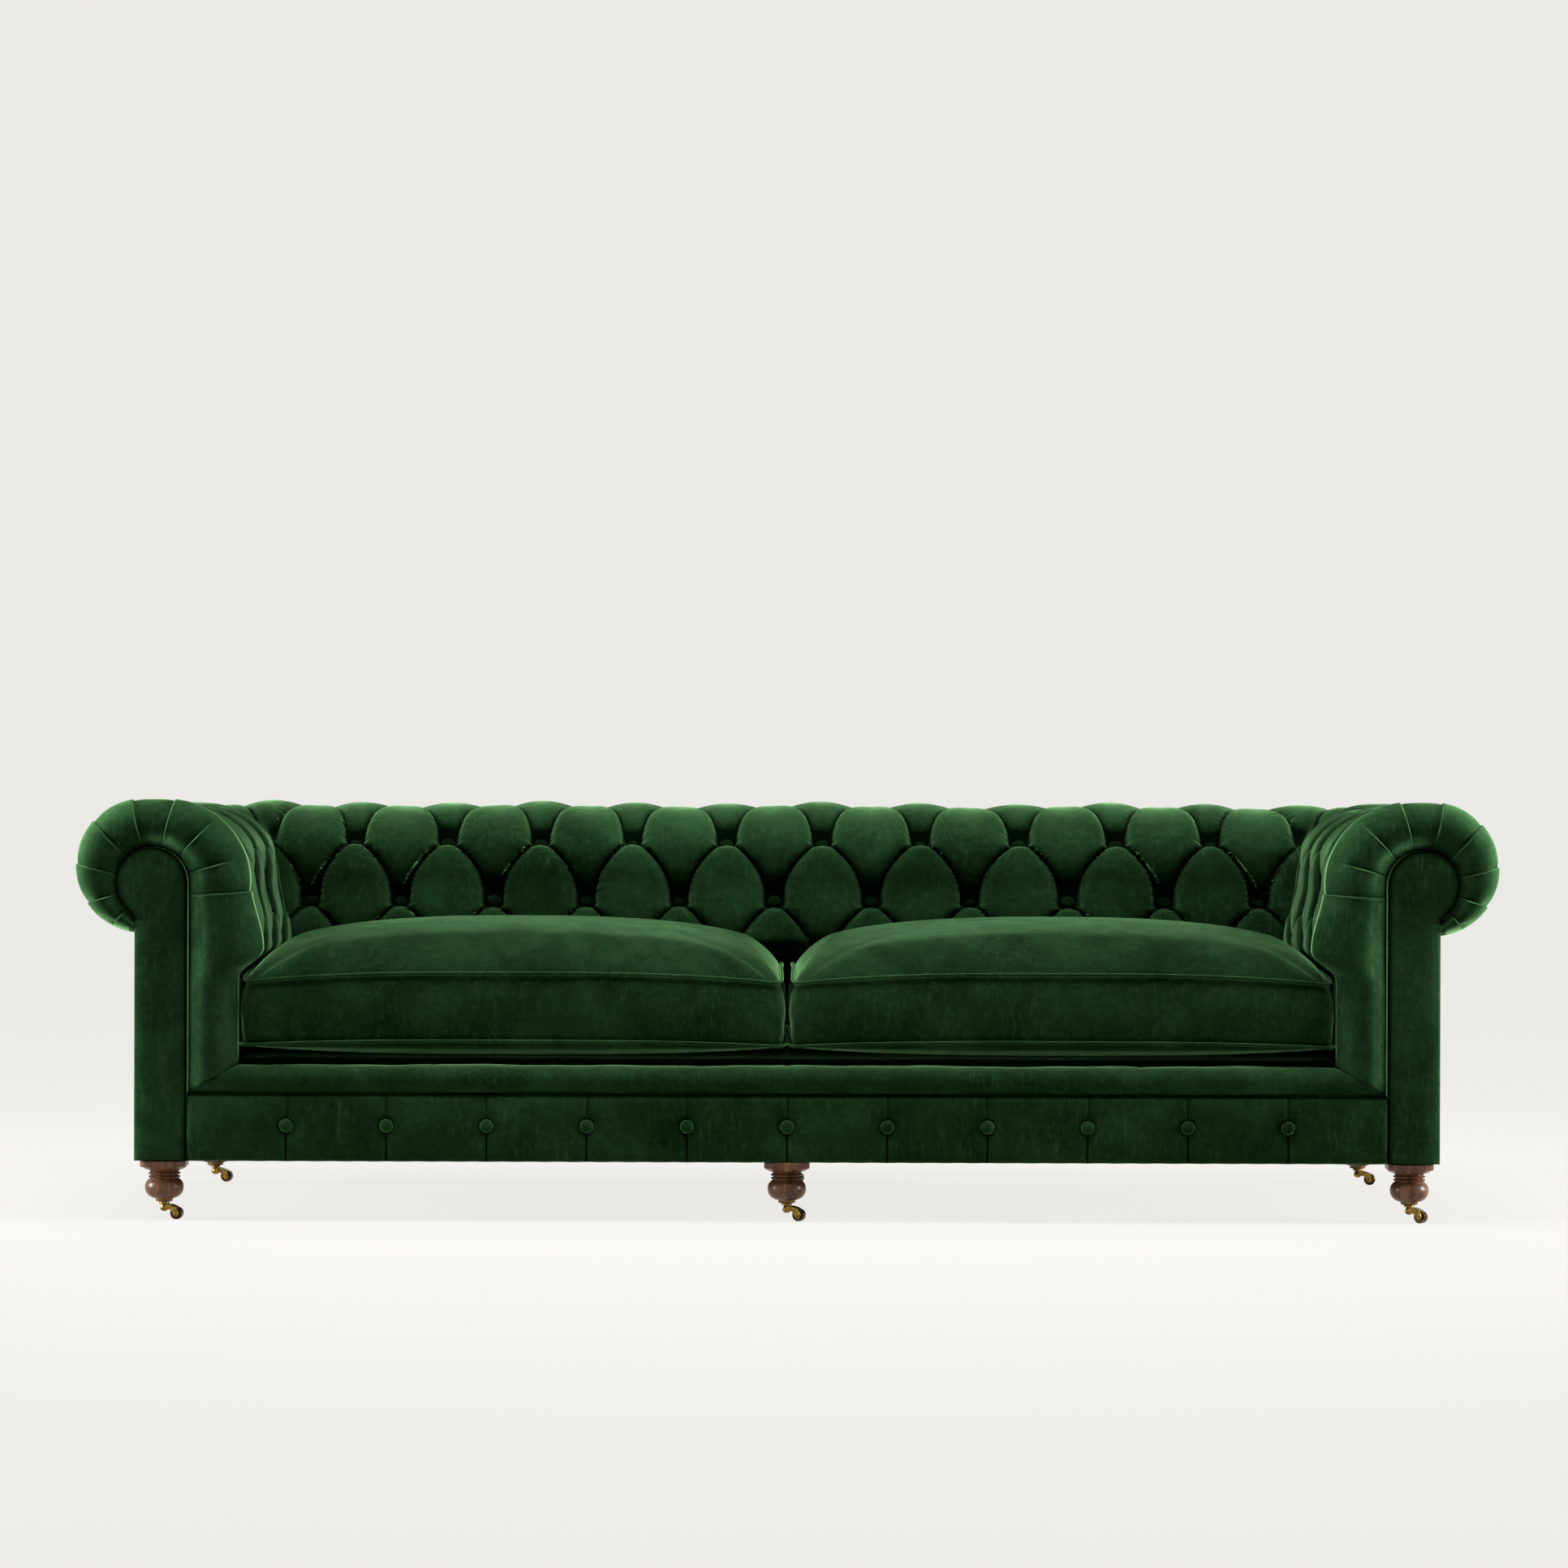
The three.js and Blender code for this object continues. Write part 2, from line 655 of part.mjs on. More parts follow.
// Front and cross rails of the seat frame
function seatFrame() {
  const group = new THREE.Group();
  const endX = armOuterX - railInnerInward - clearance;
  const railBackY = frameFrontY + frontRailThickness;
  const frontRail = board([-endX, frameFrontY, frameBottom], [endX, railBackY, railTop]);
  const crossRail = board(
    [-crossRailWidth / 2, railBackY + clearance, railTop - crossRailHeight],
    [crossRailWidth / 2, backOuterY - railInnerInward - clearance, railTop],
  );
  group.add(
    piece("base_front_rail", frontRail, timber()),
    piece("base_cross_rail", crossRail, timber()),
    piece("seat_springs", seatSprings(), steel()),
    piece("seat_deck", seatDeck(), upholstery()),
    piece("dust_cover", dustCover(), blackCloth()),
  );
  return group;
}

// A wire of square section through points in one plane
function flatWire(points, bottom) {
  const half = springWire / 2;
  const rings = points.map((point, k) => {
    const before = points[Math.max(0, k - 1)];
    const after = points[Math.min(points.length - 1, k + 1)];
    const side = after.clone().sub(before).normalize().rotateAround(new THREE.Vector2(), Math.PI / 2);
    const [left, right] = [half, -half].map((reach) => point.clone().addScaledVector(side, reach));
    return [[left, 0], [right, 0], [right, springWire], [left, springWire]].map(
      ([spot, up]) => new THREE.Vector3(spot.x, spot.y, bottom + up),
    );
  });
  const along = points.at(-1).clone().sub(points[0]).normalize();
  return loft(rings, (point) => new THREE.Vector2(point.x * along.y - point.y * along.x, point.z));
}

// Zigzag springs from the front rail to the back rail, held side by side by tie wires
function seatSprings() {
  const bottom = railTop + clearance;
  const frontEnd = frameFrontY + frontRailThickness - springLap;
  const backEnd = backOuterY - railInnerInward + springLap;
  const spread = (2 * (armOuterX - armThickness)) / springCount;
  const pitch = (backEnd - frontEnd) / springTurns;
  const wireAt = (x) =>
    flatWire(
      Array.from({ length: 2 * springTurns + 1 }, (_, k) => {
        const swing = (springSwing / 2) * Math.sin((k * Math.PI) / 2);
        return new THREE.Vector2(x + swing, frontEnd + (k * pitch) / 2);
      }),
      bottom,
    );
  const wires = Array.from({ length: springCount }, (_, k) => wireAt((k + 0.5 - springCount / 2) * spread));
  const tieEnd = ((springCount - 1) * spread + springSwing) / 2;
  const ties = Array.from({ length: tieWireCount }, (_, k) => {
    const y = THREE.MathUtils.lerp(frontEnd, backEnd, (k + 1) / (tieWireCount + 1));
    return board([-tieEnd, y - springWire / 2, bottom], [tieEnd, y + springWire / 2, bottom + springWire]);
  });
  return joined([...wires, ...ties]);
}

function rectangle(halfX, lowY, highY) {
  return new THREE.Shape([
    new THREE.Vector2(-halfX, lowY),
    new THREE.Vector2(halfX, lowY),
    new THREE.Vector2(halfX, highY),
    new THREE.Vector2(-halfX, highY),
  ]);
}

function seatDeck() {
  const halfX = armOuterX - padFaceInward - clearance;
  const shape = rectangle(halfX, borderBackY + clearance, backOuterY - padFaceInward - clearance);
  const geometry = new THREE.ExtrudeGeometry(shape, {
    depth: deckThickness - 2 * deckBevel,
    bevelThickness: deckBevel,
    bevelSize: deckBevel,
    bevelOffset: -deckBevel,
    bevelSegments: 1,
  });
  return geometry.translate(0, 0, deckBottom + deckBevel);
}

// Where the legs stand: three along the front and three along the back
function legPlaces() {
  const sideX = armOuterX - legInset;
  const [front, rear] = [frontY + legFrontSetback, backOuterY - legRearSetback];
  return [
    ["front_left", -sideX, front],
    ["front_centre", 0, front],
    ["front_right", sideX, front],
    ["rear_left", -sideX, rear],
    ["rear_centre", 0, rear],
    ["rear_right", sideX, rear],
  ];
}

// Black cloth stapled under the frame, cut away round the legs
function dustCover() {
  const halfX = armOuterX - dustClothMargin;
  const low = frontY + dustClothMargin;
  const high = backOuterY - dustClothMargin;
  const bottom = legTop - dustClothThickness;
  const cloth = flatSlab(rectangle(halfX, low, high), bottom, dustClothThickness);
  const reach = legBlock / 2 + clearance;
  const notch = (at, lowEdge, highEdge) => [
    at < 0 ? lowEdge - overrun : at - reach,
    at > 0 ? highEdge + overrun : at + reach,
  ];
  const notches = legPlaces().map(([, x, y]) => {
    const [[lowX, highX], [lowY, highY]] = [notch(x, -halfX, halfX), notch(y, low, high)];
    return board([lowX, lowY, bottom - overrun], [highX, highY, legTop + overrun]);
  });
  return cutBy(cloth, notches);
}

// A boxed seat cushion with a domed crown, drawn-in sides and cornered seams
function seatCushion(side) {
  const outerX = armOuterX - armThickness - cushionArmGap;
  const innerX = cushionGap / 2;
  const lowY = frontY + cushionFront;
  const highY = backOuterY - padFaceInward - cushionBackGap;
  const middle = new THREE.Vector2((side * (outerX + innerX)) / 2, (lowY + highY) / 2);
  const half = new THREE.Vector2((outerX - innerX) / 2, (highY - lowY) / 2);
  const [cellsX, cellsY] = cushionCells;
  const spaced = (k, count) => Math.sin((Math.PI / 2) * ((2 * k) / count - 1));
  const plan = (a, b, grow) => {
    const reach = Math.max(Math.abs(a), Math.abs(b), Number.EPSILON);
    const powers = Math.abs(a) ** cornerPower + Math.abs(b) ** cornerPower + Number.MIN_VALUE;
    const rounded = reach / powers ** (1 / cornerPower);
    const pull = sideDraw * reach ** 2;
    const x = a * rounded * (half.x + grow - pull * (1 - b ** 2));
    const y = b * rounded * (half.y + grow - pull * (1 - a ** 2));
    return [middle.x + x, middle.y + y];
  };
  const fall = (share) => Math.max(0, 1 - Math.abs(share) ** crownPower);
  const dome = (a, b) => (fall(a) * fall(b)) ** crownFullness;
  const points = [];
  const triangles = [];
  const index = (layer, i, j) => layer * (cellsX + 1) * (cellsY + 1) + i * (cellsY + 1) + j;
  const layers = [
    { height: lowerPiping, crown: -undersideCrown, grow: 0 },
    { height: upperPiping, crown: topCrown, grow: -pipingTaper },
  ];
  layers.forEach(({ height, crown, grow }, layer) => {
    for (let i = 0; i <= cellsX; i += 1) {
      for (let j = 0; j <= cellsY; j += 1) {
        const [a, b] = [spaced(i, cellsX), spaced(j, cellsY)];
        points.push(new THREE.Vector3(...plan(a, b, grow), height + crown * dome(a, b)));
        if (i === cellsX || j === cellsY) continue;
        const [p, q] = [index(layer, i, j), index(layer, i + 1, j)];
        const [r, s] = [index(layer, i + 1, j + 1), index(layer, i, j + 1)];
        triangles.push(...(layer ? [[p, q, r], [p, r, s]] : [[p, r, q], [p, s, r]]));
      }
    }
  });
  const rim = [
    ...Array.from({ length: cellsX }, (_, i) => [i, 0]),
    ...Array.from({ length: cellsY }, (_, j) => [cellsX, j]),
    ...Array.from({ length: cellsX }, (_, i) => [cellsX - i, cellsY]),
    ...Array.from({ length: cellsY }, (_, j) => [0, cellsY - j]),
  ];
  const waist = points.length;
  rim.forEach(([i, j]) => {
    const [x, y] = plan(spaced(i, cellsX), spaced(j, cellsY), boxingBulge - pipingTaper / 2);
    points.push(new THREE.Vector3(x, y, (lowerPiping + upperPiping) / 2));
  });
  rim.forEach(([i, j], k) => {
    const next = (k + 1) % rim.length;
    const [low, lowNext] = [index(0, i, j), index(0, ...rim[next])];
    const [high, highNext] = [index(1, i, j), index(1, ...rim[next])];
    const [mid, midNext] = [waist + k, waist + next];
    triangles.push([low, lowNext, midNext], [low, midNext, mid]);
    triangles.push([mid, midNext, highNext], [mid, highNext, high]);
  });
  return closedSurface(points, triangles);
}

// Padded lip along the front of the seat, mitred into the borders at its ends
function frontLip() {
  const [front, back] = [frontY + lipProud, borderBackY];
  const section = [
    [back, lipBottom],
    [front + lipRound, lipBottom],
    [front, lipBottom + lipRound],
    [front, lipTop - lipRound],
    [front + lipRound, lipTop],
    [back - lipRound, lipTop],
    [back, lipTop - lipRound],
  ];
  const endAt = (up) => {
    const share = (up - lipBottom) / (lipTop - lipBottom);
    return armOuterX - clearance - THREE.MathUtils.lerp(facingWidth, armThickness, share) - clearance;
  };
  const ring = (side) => section.map(([y, up]) => new THREE.Vector3(side * endAt(up), y, up));
  return loft([ring(-1), ring(0), ring(1)], (point) => new THREE.Vector2(point.y, point.z));
}

// Rail panel with a row of buttons, each on a vertical pleat
function railPanel() {
  const halfX = armOuterX - facingWidth - clearance;
  const [front, back] = [frontY + railPanelSetback, boardBackY];
  const top = lipBottom - clearance;
  const buttonUp = THREE.MathUtils.lerp(frameBottom, top, railRowShares[railButtonRow]);
  const reach = Math.floor(halfX / railButtonSpacing - 1 / 2);
  const centres = Array.from({ length: 2 * reach + 1 }, (_, k) => (k - reach) * railButtonSpacing);
  const pleatWidth = railButtonSpacing * railPleatShare;
  const between = railButtonSpacing / 2;
  const inner = centres.flatMap((x) => [x - between, x - pleatWidth, x, x + pleatWidth]);
  const columns = [-halfX, ...inner, centres.at(-1) + between, halfX];
  const sinkAt = (x, up) => {
    const away = Math.min(...centres.map((centre) => Math.abs(x - centre)));
    const pleat = railPleatDepth * Math.max(0, 1 - away / pleatWidth);
    const pit = railPitDepth * Math.max(0, 1 - Math.hypot(away, up - buttonUp) / railPitSpread);
    return Math.max(pleat, pit);
  };
  const facePoint = (x, share) => {
    const up = THREE.MathUtils.lerp(frameBottom, top, share);
    const rounding = share > 0 && share < 1 ? 0 : railPanelRound;
    return new THREE.Vector3(x, front + sinkAt(x, up) + rounding, up);
  };
  const rings = columns.map((x) => [
    ...railRowShares.map((share) => facePoint(x, share)),
    new THREE.Vector3(x, back, top),
    new THREE.Vector3(x, back, frameBottom),
  ]);
  const panel = loft(rings, (point) => new THREE.Vector2(point.y, point.z));
  const normal = new THREE.Vector3(0, -1, 0);
  const seats = centres.map((x) => new THREE.Vector3(x, front + sinkAt(x, buttonUp), buttonUp));
  const domes = seats.map((seat) => button(seat, normal));
  return joined([panel, ...domes]);
}

// Turned leg: a chamfered square block on a beaded neck and a bun, all in one piece
function leg() {
  const radii = {
    neck: neckRadius,
    bead: beadRadius,
    shoulder: bunRadius * bunShoulderShare,
    bun: bunRadius,
    foot: footRadius,
  };
  const half = legBlock / 2;
  const blockReach = (angle) => {
    const flat = half / Math.max(Math.abs(Math.cos(angle)), Math.abs(Math.sin(angle)));
    const corner = (half * 2 - legChamfer) / (Math.abs(Math.cos(angle)) + Math.abs(Math.sin(angle)));
    return Math.min(flat, corner);
  };
  const ring = (up, reach) =>
    Array.from({ length: legSides }, (_, k) => {
      const angle = ((k + 0.5) / legSides) * 2 * Math.PI;
      const distance = reach(angle);
      return new THREE.Vector3(distance * Math.cos(angle), distance * Math.sin(angle), up);
    });
  const rings = [
    ring(legHeight, blockReach),
    ring(legHeight * legBlockHeightShare, blockReach),
    ...legProfileShares.map(([share, name]) => ring(legHeight * share, () => radii[name])),
  ];
  return loft(rings, (point) => new THREE.Vector2(point.x, point.y));
}

// Caster pieces, each made about the upright spindle, with the wheel trailing towards +X
const axleUp = wheelRadius * Math.cos(Math.PI / wheelSides);
const hubTop = casterHeight - cupThickness - hubTopGap;
const cheekOut = wheelWidth / 2 + cheekGap + cheekThickness;

function casterCup() {
  const headTop = hubBottom - clearance;
  const headBottom = headTop - spindleHeadHeight;
  const profile = [
    [0, headBottom],
    [spindleHeadRadius / 2, headBottom],
    [spindleHeadRadius, headTop - spindleHeadHeight / 2],
    [spindleHeadRadius, headTop],
    [spindleRadius, headTop],
    [spindleRadius, casterHeight - cupThickness],
    [cupRadius, casterHeight - cupThickness],
    [cupRadius, casterHeight - clearance],
    [0, casterHeight - clearance],
  ];
  const cup = new THREE.LatheGeometry(profile.map(([x, y]) => new THREE.Vector2(x, y)), brassSides);
  return cup.rotateX(Math.PI / 2);
}

function casterHorn() {
  const [reach, rise] = hornShares;
  const side = new THREE.Shape();
  side.moveTo(0, hubBottom);
  side.lineTo(0, hubTop);
  side.lineTo(hubRadius, hubTop);
  side.quadraticCurveTo(casterTrail + cheekRadius * rise, hubTop, casterTrail + cheekRadius, axleUp);
  side.absarc(casterTrail, axleUp, cheekRadius, 0, Math.PI, true);
  side.quadraticCurveTo(casterTrail * reach, hubBottom, hubRadius * reach, hubBottom);
  const width = 2 * cheekOut;
  const settings = { depth: width, bevelEnabled: false, curveSegments: hornSegments };
  const horn = new THREE.ExtrudeGeometry(side, settings);
  horn.translate(0, 0, -width / 2).rotateX(Math.PI / 2);
  const hub = new THREE.CylinderGeometry(hubRadius, hubRadius, hubTop - hubBottom, brassSides);
  hub.rotateX(Math.PI / 2).translate(0, 0, (hubTop + hubBottom) / 2);
  const boreRadius = spindleRadius + spindleFit;
  const bore = new THREE.CylinderGeometry(boreRadius, boreRadius, casterHeight, brassSides);
  bore.rotateX(Math.PI / 2).translate(0, 0, casterHeight / 2);
  const lying = (radius, length, sides) =>
    new THREE.CylinderGeometry(radius, radius, length, sides).translate(casterTrail, 0, axleUp);
  const arch = lying(wheelRadius + wheelArchGap, wheelWidth + 2 * cheekGap, brassSides);
  const axleHole = lying(axleRadius + axleFit, width + 2 * overrun, brassSides);
  return cutBy(joined([horn, hub]), [bore, arch, axleHole]);
}

function casterAxle() {
  const length = 2 * (cheekOut + axleOverhang);
  const axle = new THREE.CylinderGeometry(axleRadius, axleRadius, length, brassSides);
  return axle.translate(casterTrail, 0, axleUp);
}

function casterWheel() {
  const [bore, half] = [axleRadius + axleFit, wheelWidth / 2];
  const profile = [
    [bore, -half],
    [wheelRadius - wheelChamfer, -half],
    [wheelRadius, wheelChamfer - half],
    [wheelRadius, half - wheelChamfer],
    [wheelRadius - wheelChamfer, half],
    [bore, half],
    [bore, -half],
  ];
  const wheel = new THREE.LatheGeometry(profile.map(([x, y]) => new THREE.Vector2(x, y)), wheelSides);
  return wheel.rotateY(Math.PI / wheelSides);
}

function caster(place) {
  const group = new THREE.Group();
  const wheel = piece(`caster_wheel_${place}`, casterWheel(), brass());
  wheel.position.set(casterTrail, 0, axleUp);
  group.add(
    piece(`caster_cup_${place}`, casterCup(), brass()),
    piece(`caster_horn_${place}`, casterHorn(), brass()),
    piece(`caster_axle_${place}`, casterAxle(), brass()),
    wheel,
  );
  group.rotation.z = THREE.MathUtils.degToRad(casterTurns[place] ?? rearCasterTurn);
  return group;
}

function legsAndCasters() {
  const group = new THREE.Group();
  legPlaces().forEach(([place, x, y]) => {
    const stand = new THREE.Group();
    stand.position.set(x, y, 0);
    const turned = piece(`leg_${place}`, leg(), walnut());
    turned.position.z = casterHeight;
    stand.add(turned, caster(place));
    group.add(stand);
  });
  return group;
}

function sofa() {
  const group = new THREE.Group();
  const leftArm = arm("left");
  leftArm.scale.x = -1;
  group.add(
    leftArm,
    arm("right"),
    back(),
    seatFrame(),
    piece("seat_cushion_left", seatCushion(-1), upholstery()),
    piece("seat_cushion_right", seatCushion(1), upholstery()),
    piece("front_lip", frontLip(), upholstery()),
    piece("front_rail_panel", railPanel(), upholstery()),
    legsAndCasters(),
  );
  return group;
}

const group = sofa();
export default group;
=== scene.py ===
# Chesterfield sofa: the visible upholstery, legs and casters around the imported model, in metres.
import math
import random

import bmesh
import bpy
import numpy as np
from mathutils import Matrix, Vector


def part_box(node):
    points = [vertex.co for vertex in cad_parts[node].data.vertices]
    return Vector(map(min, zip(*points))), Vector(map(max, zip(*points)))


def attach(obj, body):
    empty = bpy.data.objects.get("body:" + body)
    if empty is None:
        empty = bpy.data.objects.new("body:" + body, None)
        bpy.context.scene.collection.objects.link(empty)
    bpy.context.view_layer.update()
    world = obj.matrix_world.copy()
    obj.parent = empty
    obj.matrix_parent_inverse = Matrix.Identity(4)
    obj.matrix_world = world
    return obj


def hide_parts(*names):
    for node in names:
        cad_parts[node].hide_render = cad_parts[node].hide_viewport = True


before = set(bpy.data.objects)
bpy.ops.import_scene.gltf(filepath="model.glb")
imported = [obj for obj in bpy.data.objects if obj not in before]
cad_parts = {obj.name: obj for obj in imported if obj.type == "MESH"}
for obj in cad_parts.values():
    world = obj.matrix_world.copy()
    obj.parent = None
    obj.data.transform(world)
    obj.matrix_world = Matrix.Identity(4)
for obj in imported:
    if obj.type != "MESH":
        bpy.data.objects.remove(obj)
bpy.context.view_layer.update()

SEED = 7
MM = 0.001

# Camera, from the photograph's frame of 1932 pixels
PHOTO_SIDE = 1932
FOCAL_PIXELS = 6067
SENSOR = 36.0
CAMERA_PLACE = (-0.007, -9.097, 0.803)
CAMERA_DOWN = math.radians(0.234)
CAMERA_ROLL = math.radians(0.17)

# Outer faces and levels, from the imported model
ARM_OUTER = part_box("outside_arm_right")[1][0]
BACK_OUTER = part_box("outside_back")[1][1]
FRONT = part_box("arm_border_right")[0][1]
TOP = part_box("arm_border_right")[1][2]
BORDER_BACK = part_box("arm_border_right")[1][1]
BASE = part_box("outside_back")[0][2]
DECK_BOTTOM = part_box("seat_deck")[0][2]
DECK_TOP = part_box("seat_deck")[1][2]
LIP_LOW, LIP_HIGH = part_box("front_lip")
PANEL_LOW, PANEL_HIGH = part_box("front_rail_panel")

# Scroll section, as in the construction. "Inward" is measured from the outer face.
SCROLL_OVERHANG = 0.107
SCROLL_RADIUS = 0.118
ROLL_TOP_INWARD = 0.050
SHOULDER_INWARD = 0.200
SHOULDER_DROP = 0.149
BULGE_INWARD = 0.222
BULGE_DROP = 0.262
ARM_THICKNESS = 0.178
PAD_INSET = 0.010
UPPER_PIPING = 0.425
BULGE_CURVE = (0.3, 0.35, 0.44, 0.38)
TACK_INWARD = -0.0003
GAP = 0.0003
LINING_INWARD = 0.0523
SCROLL_CENTRE = np.array([SCROLL_RADIUS - SCROLL_OVERHANG, TOP - SCROLL_RADIUS])

# Button grid of the tufted pads
TUFT_SPACING = 0.1785
ROW_RISE = 0.124
TOP_ROW_UP = 0.4605
ROLL_RISE = 0.236
FULL_SPREAD = 0.84
# Depth at which painted shade starts in the pads' hollows, and how much deeper it is full
SHADE_PAINT_FROM = 0.010
SHADE_PAINT_REACH = 0.017
FOLD_DEPTH = 0.020
PIT_DEPTH = 0.048
PLEAT_DEPTH = 0.011
END_TUCK = 0.012
END_FADE = 0.042
PAD_CELL = 0.0040
BUTTON_RADIUS = 0.0122
BUTTON_LIFT = 0.006
BUTTON_PROUD = 0.012

# Facing and border at the front of the arms
FACING_WIDTH = 0.0925
HEAD_RADIUS = 0.063
HEAD_CENTRE = np.array([FACING_WIDTH - HEAD_RADIUS, TOP - 0.1475])
PINCH_HEIGHT = 0.009
HEAD_START = 225


def new_object(name, verts, faces, material, body="sofa", replaces=(), smooth=True):
    """A mesh piece that rides on a body and stands for the nodes it replaces."""
    mesh = bpy.data.meshes.new(name)
    mesh.from_pydata([tuple(map(float, v)) for v in verts], [], [tuple(map(int, f)) for f in faces])
    tool = bmesh.new()
    tool.from_mesh(mesh)
    bmesh.ops.recalc_face_normals(tool, faces=tool.faces)
    tool.to_mesh(mesh)
    tool.free()
    mesh.polygons.foreach_set("use_smooth", [smooth] * len(mesh.polygons))
    obj = bpy.data.objects.new(name, mesh)
    bpy.context.scene.collection.objects.link(obj)
    mesh.materials.append(material)
    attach(obj, body)
    if replaces:
        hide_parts(*replaces)
    return obj


def grid_faces(rows, columns, wrap_columns=False, start=0):
    """Quads of a grid of vertices that lie row by row."""
    last = columns if wrap_columns else columns - 1
    return [
        (start + r * columns + c, start + r * columns + (c + 1) % columns,
         start + (r + 1) * columns + (c + 1) % columns, start + (r + 1) * columns + c)
        for r in range(rows - 1) for c in range(last)
    ]


# Curves in the scroll's section
def arc(centre, radius, start, end, steps=60):
    angles = np.radians(np.linspace(start, end, steps))
    rx, ry = radius if isinstance(radius, tuple) else (radius, radius)
    return np.column_stack([centre[0] + rx * np.cos(angles), centre[1] + ry * np.sin(angles)])


def bezier(a, b, c, d, steps=40):
    t = np.linspace(0, 1, steps)[:, None]
    a, b, c, d = map(np.array, (a, b, c, d))
    return (1 - t) ** 3 * a + 3 * (1 - t) ** 2 * t * b + 3 * (1 - t) * t**2 * c + t**3 * d


def resample(points, stops):
    """Points at the given distances along a polyline, with their outward normals."""
    points = points[np.r_[True, np.linalg.norm(np.diff(points, axis=0), axis=1) > 1e-7]]
    run = np.r_[0, np.cumsum(np.linalg.norm(np.diff(points, axis=0), axis=1))]
    at = lambda d: np.column_stack([np.interp(d, run, points[:, 0]), np.interp(d, run, points[:, 1])])
    ahead, behind = at(np.minimum(stops + 0.002, run[-1])), at(np.maximum(stops - 0.002, 0))
    tangent = (ahead - behind) / np.linalg.norm(ahead - behind, axis=1)[:, None]
    return at(stops), np.column_stack([-tangent[:, 1], tangent[:, 0]])


def length_of(points):
    return float(np.linalg.norm(np.diff(points, axis=0), axis=1).sum())


def scroll_line(inset, bottom):
    """[inward, up] from the tack line under the roll, over the top and down to the bottom."""
    radius, top = SCROLL_RADIUS - inset, TOP - inset
    start = -90 - math.degrees(math.asin((SCROLL_CENTRE[0] - TACK_INWARD) / radius))
    shoulder_up, bulge_up = TOP - SHOULDER_DROP, TOP - BULGE_DROP
    bulge, base, shoulder = BULGE_INWARD - inset, ARM_THICKNESS - inset, SHOULDER_INWARD - inset
    upper, lower = shoulder_up - bulge_up, bulge_up - UPPER_PIPING
    return np.vstack([
        arc(SCROLL_CENTRE, radius, start, -270),
        arc((ROLL_TOP_INWARD, shoulder_up), (shoulder - ROLL_TOP_INWARD, top - shoulder_up), 90, 0),
        bezier((shoulder, shoulder_up), (shoulder, shoulder_up - BULGE_CURVE[0] * upper),
               (bulge, bulge_up + BULGE_CURVE[1] * upper), (bulge, bulge_up)),
        bezier((bulge, bulge_up), (bulge, bulge_up - BULGE_CURVE[2] * lower),
               (base, UPPER_PIPING + BULGE_CURVE[3] * lower), (base, UPPER_PIPING)),
        np.array([[base, UPPER_PIPING], [base, bottom]]),
    ])


def keyhole_line(outer, grow):
    """[inward, up] of the facing's outline, from its outer foot over the head to its inner foot."""
    radius = HEAD_RADIUS + grow
    start = math.radians(HEAD_START)
    neck = HEAD_CENTRE + radius * np.array([math.cos(start), math.sin(start)])
    pinch = HEAD_CENTRE[1] - math.sqrt(radius**2 - (HEAD_CENTRE[0] - outer) ** 2) - PINCH_HEIGHT
    bend = (outer, pinch + 0.28 * (neck[1] - pinch))
    t = np.linspace(0, 1, 12)[:, None]
    curve = (1 - t) ** 2 * np.array([outer, pinch]) + 2 * (1 - t) * t * np.array(bend) + t**2 * neck
    return np.vstack([[[outer, BASE]], curve, arc(HEAD_CENTRE, radius, HEAD_START, 0, 80),
                      [[FACING_WIDTH + grow, BASE]]])


# Materials
def material(name):
    made = bpy.data.materials.new(name)
    made.use_nodes = True
    tree = made.node_tree
    return made, tree, tree.nodes["Principled BSDF"]


def add(tree, kind, inputs=(), **settings):
    node = tree.nodes.new(kind)
    for key, value in settings.items():
        setattr(node, key, value)
    for key, value in dict(inputs).items():
        node.inputs[key].default_value = value
    return node


def object_coordinates(tree, scale):
    source = add(tree, "ShaderNodeTexCoord")
    mapping = add(tree, "ShaderNodeMapping", {"Scale": scale})
    tree.links.new(source.outputs["Object"], mapping.inputs["Vector"])
    return mapping.outputs["Vector"]


def noise(tree, vector, scale, detail=3.0, rough=0.5, distortion=0.0):
    node = add(tree, "ShaderNodeTexNoise",
               {"Scale": scale, "Detail": detail, "Roughness": rough, "Distortion": distortion})
    tree.links.new(vector, node.inputs["Vector"])
    return node.outputs["Fac"]


def ramp(tree, fac, stops):
    node = add(tree, "ShaderNodeValToRGB")
    while len(node.color_ramp.elements) < len(stops):
        node.color_ramp.elements.new(0.5)
    for element, (place, colour) in zip(node.color_ramp.elements, stops):
        element.position = place
        element.color = (*colour, 1)
    tree.links.new(fac, node.inputs["Fac"])
    return node.outputs["Color"]


def mixed(tree, fac, first, second, blend="MIX"):
    node = add(tree, "ShaderNodeMix", data_type="RGBA", blend_type=blend)
    for socket, value in (("Factor", fac), ("A", first), ("B", second)):
        target = next(s for s in node.inputs if s.name == socket and s.type == ("VALUE" if socket == "Factor" else "RGBA"))
        if isinstance(value, bpy.types.NodeSocket):
            tree.links.new(value, target)
        else:
            target.default_value = value if socket == "Factor" else (*value, 1)
    return next(s for s in node.outputs if s.type == "RGBA")


def bumped(tree, shader, layers):
    """Chains bump nodes: each layer is (height socket, strength, distance in metres)."""
    normal = None
    for height, strength, distance in layers:
        node = add(tree, "ShaderNodeBump", {"Strength": strength, "Distance": distance})
        tree.links.new(height, node.inputs["Height"])
        if normal is not None:
            tree.links.new(normal, node.inputs["Normal"])
        normal = node.outputs["Normal"]
    tree.links.new(normal, shader.inputs["Normal"])


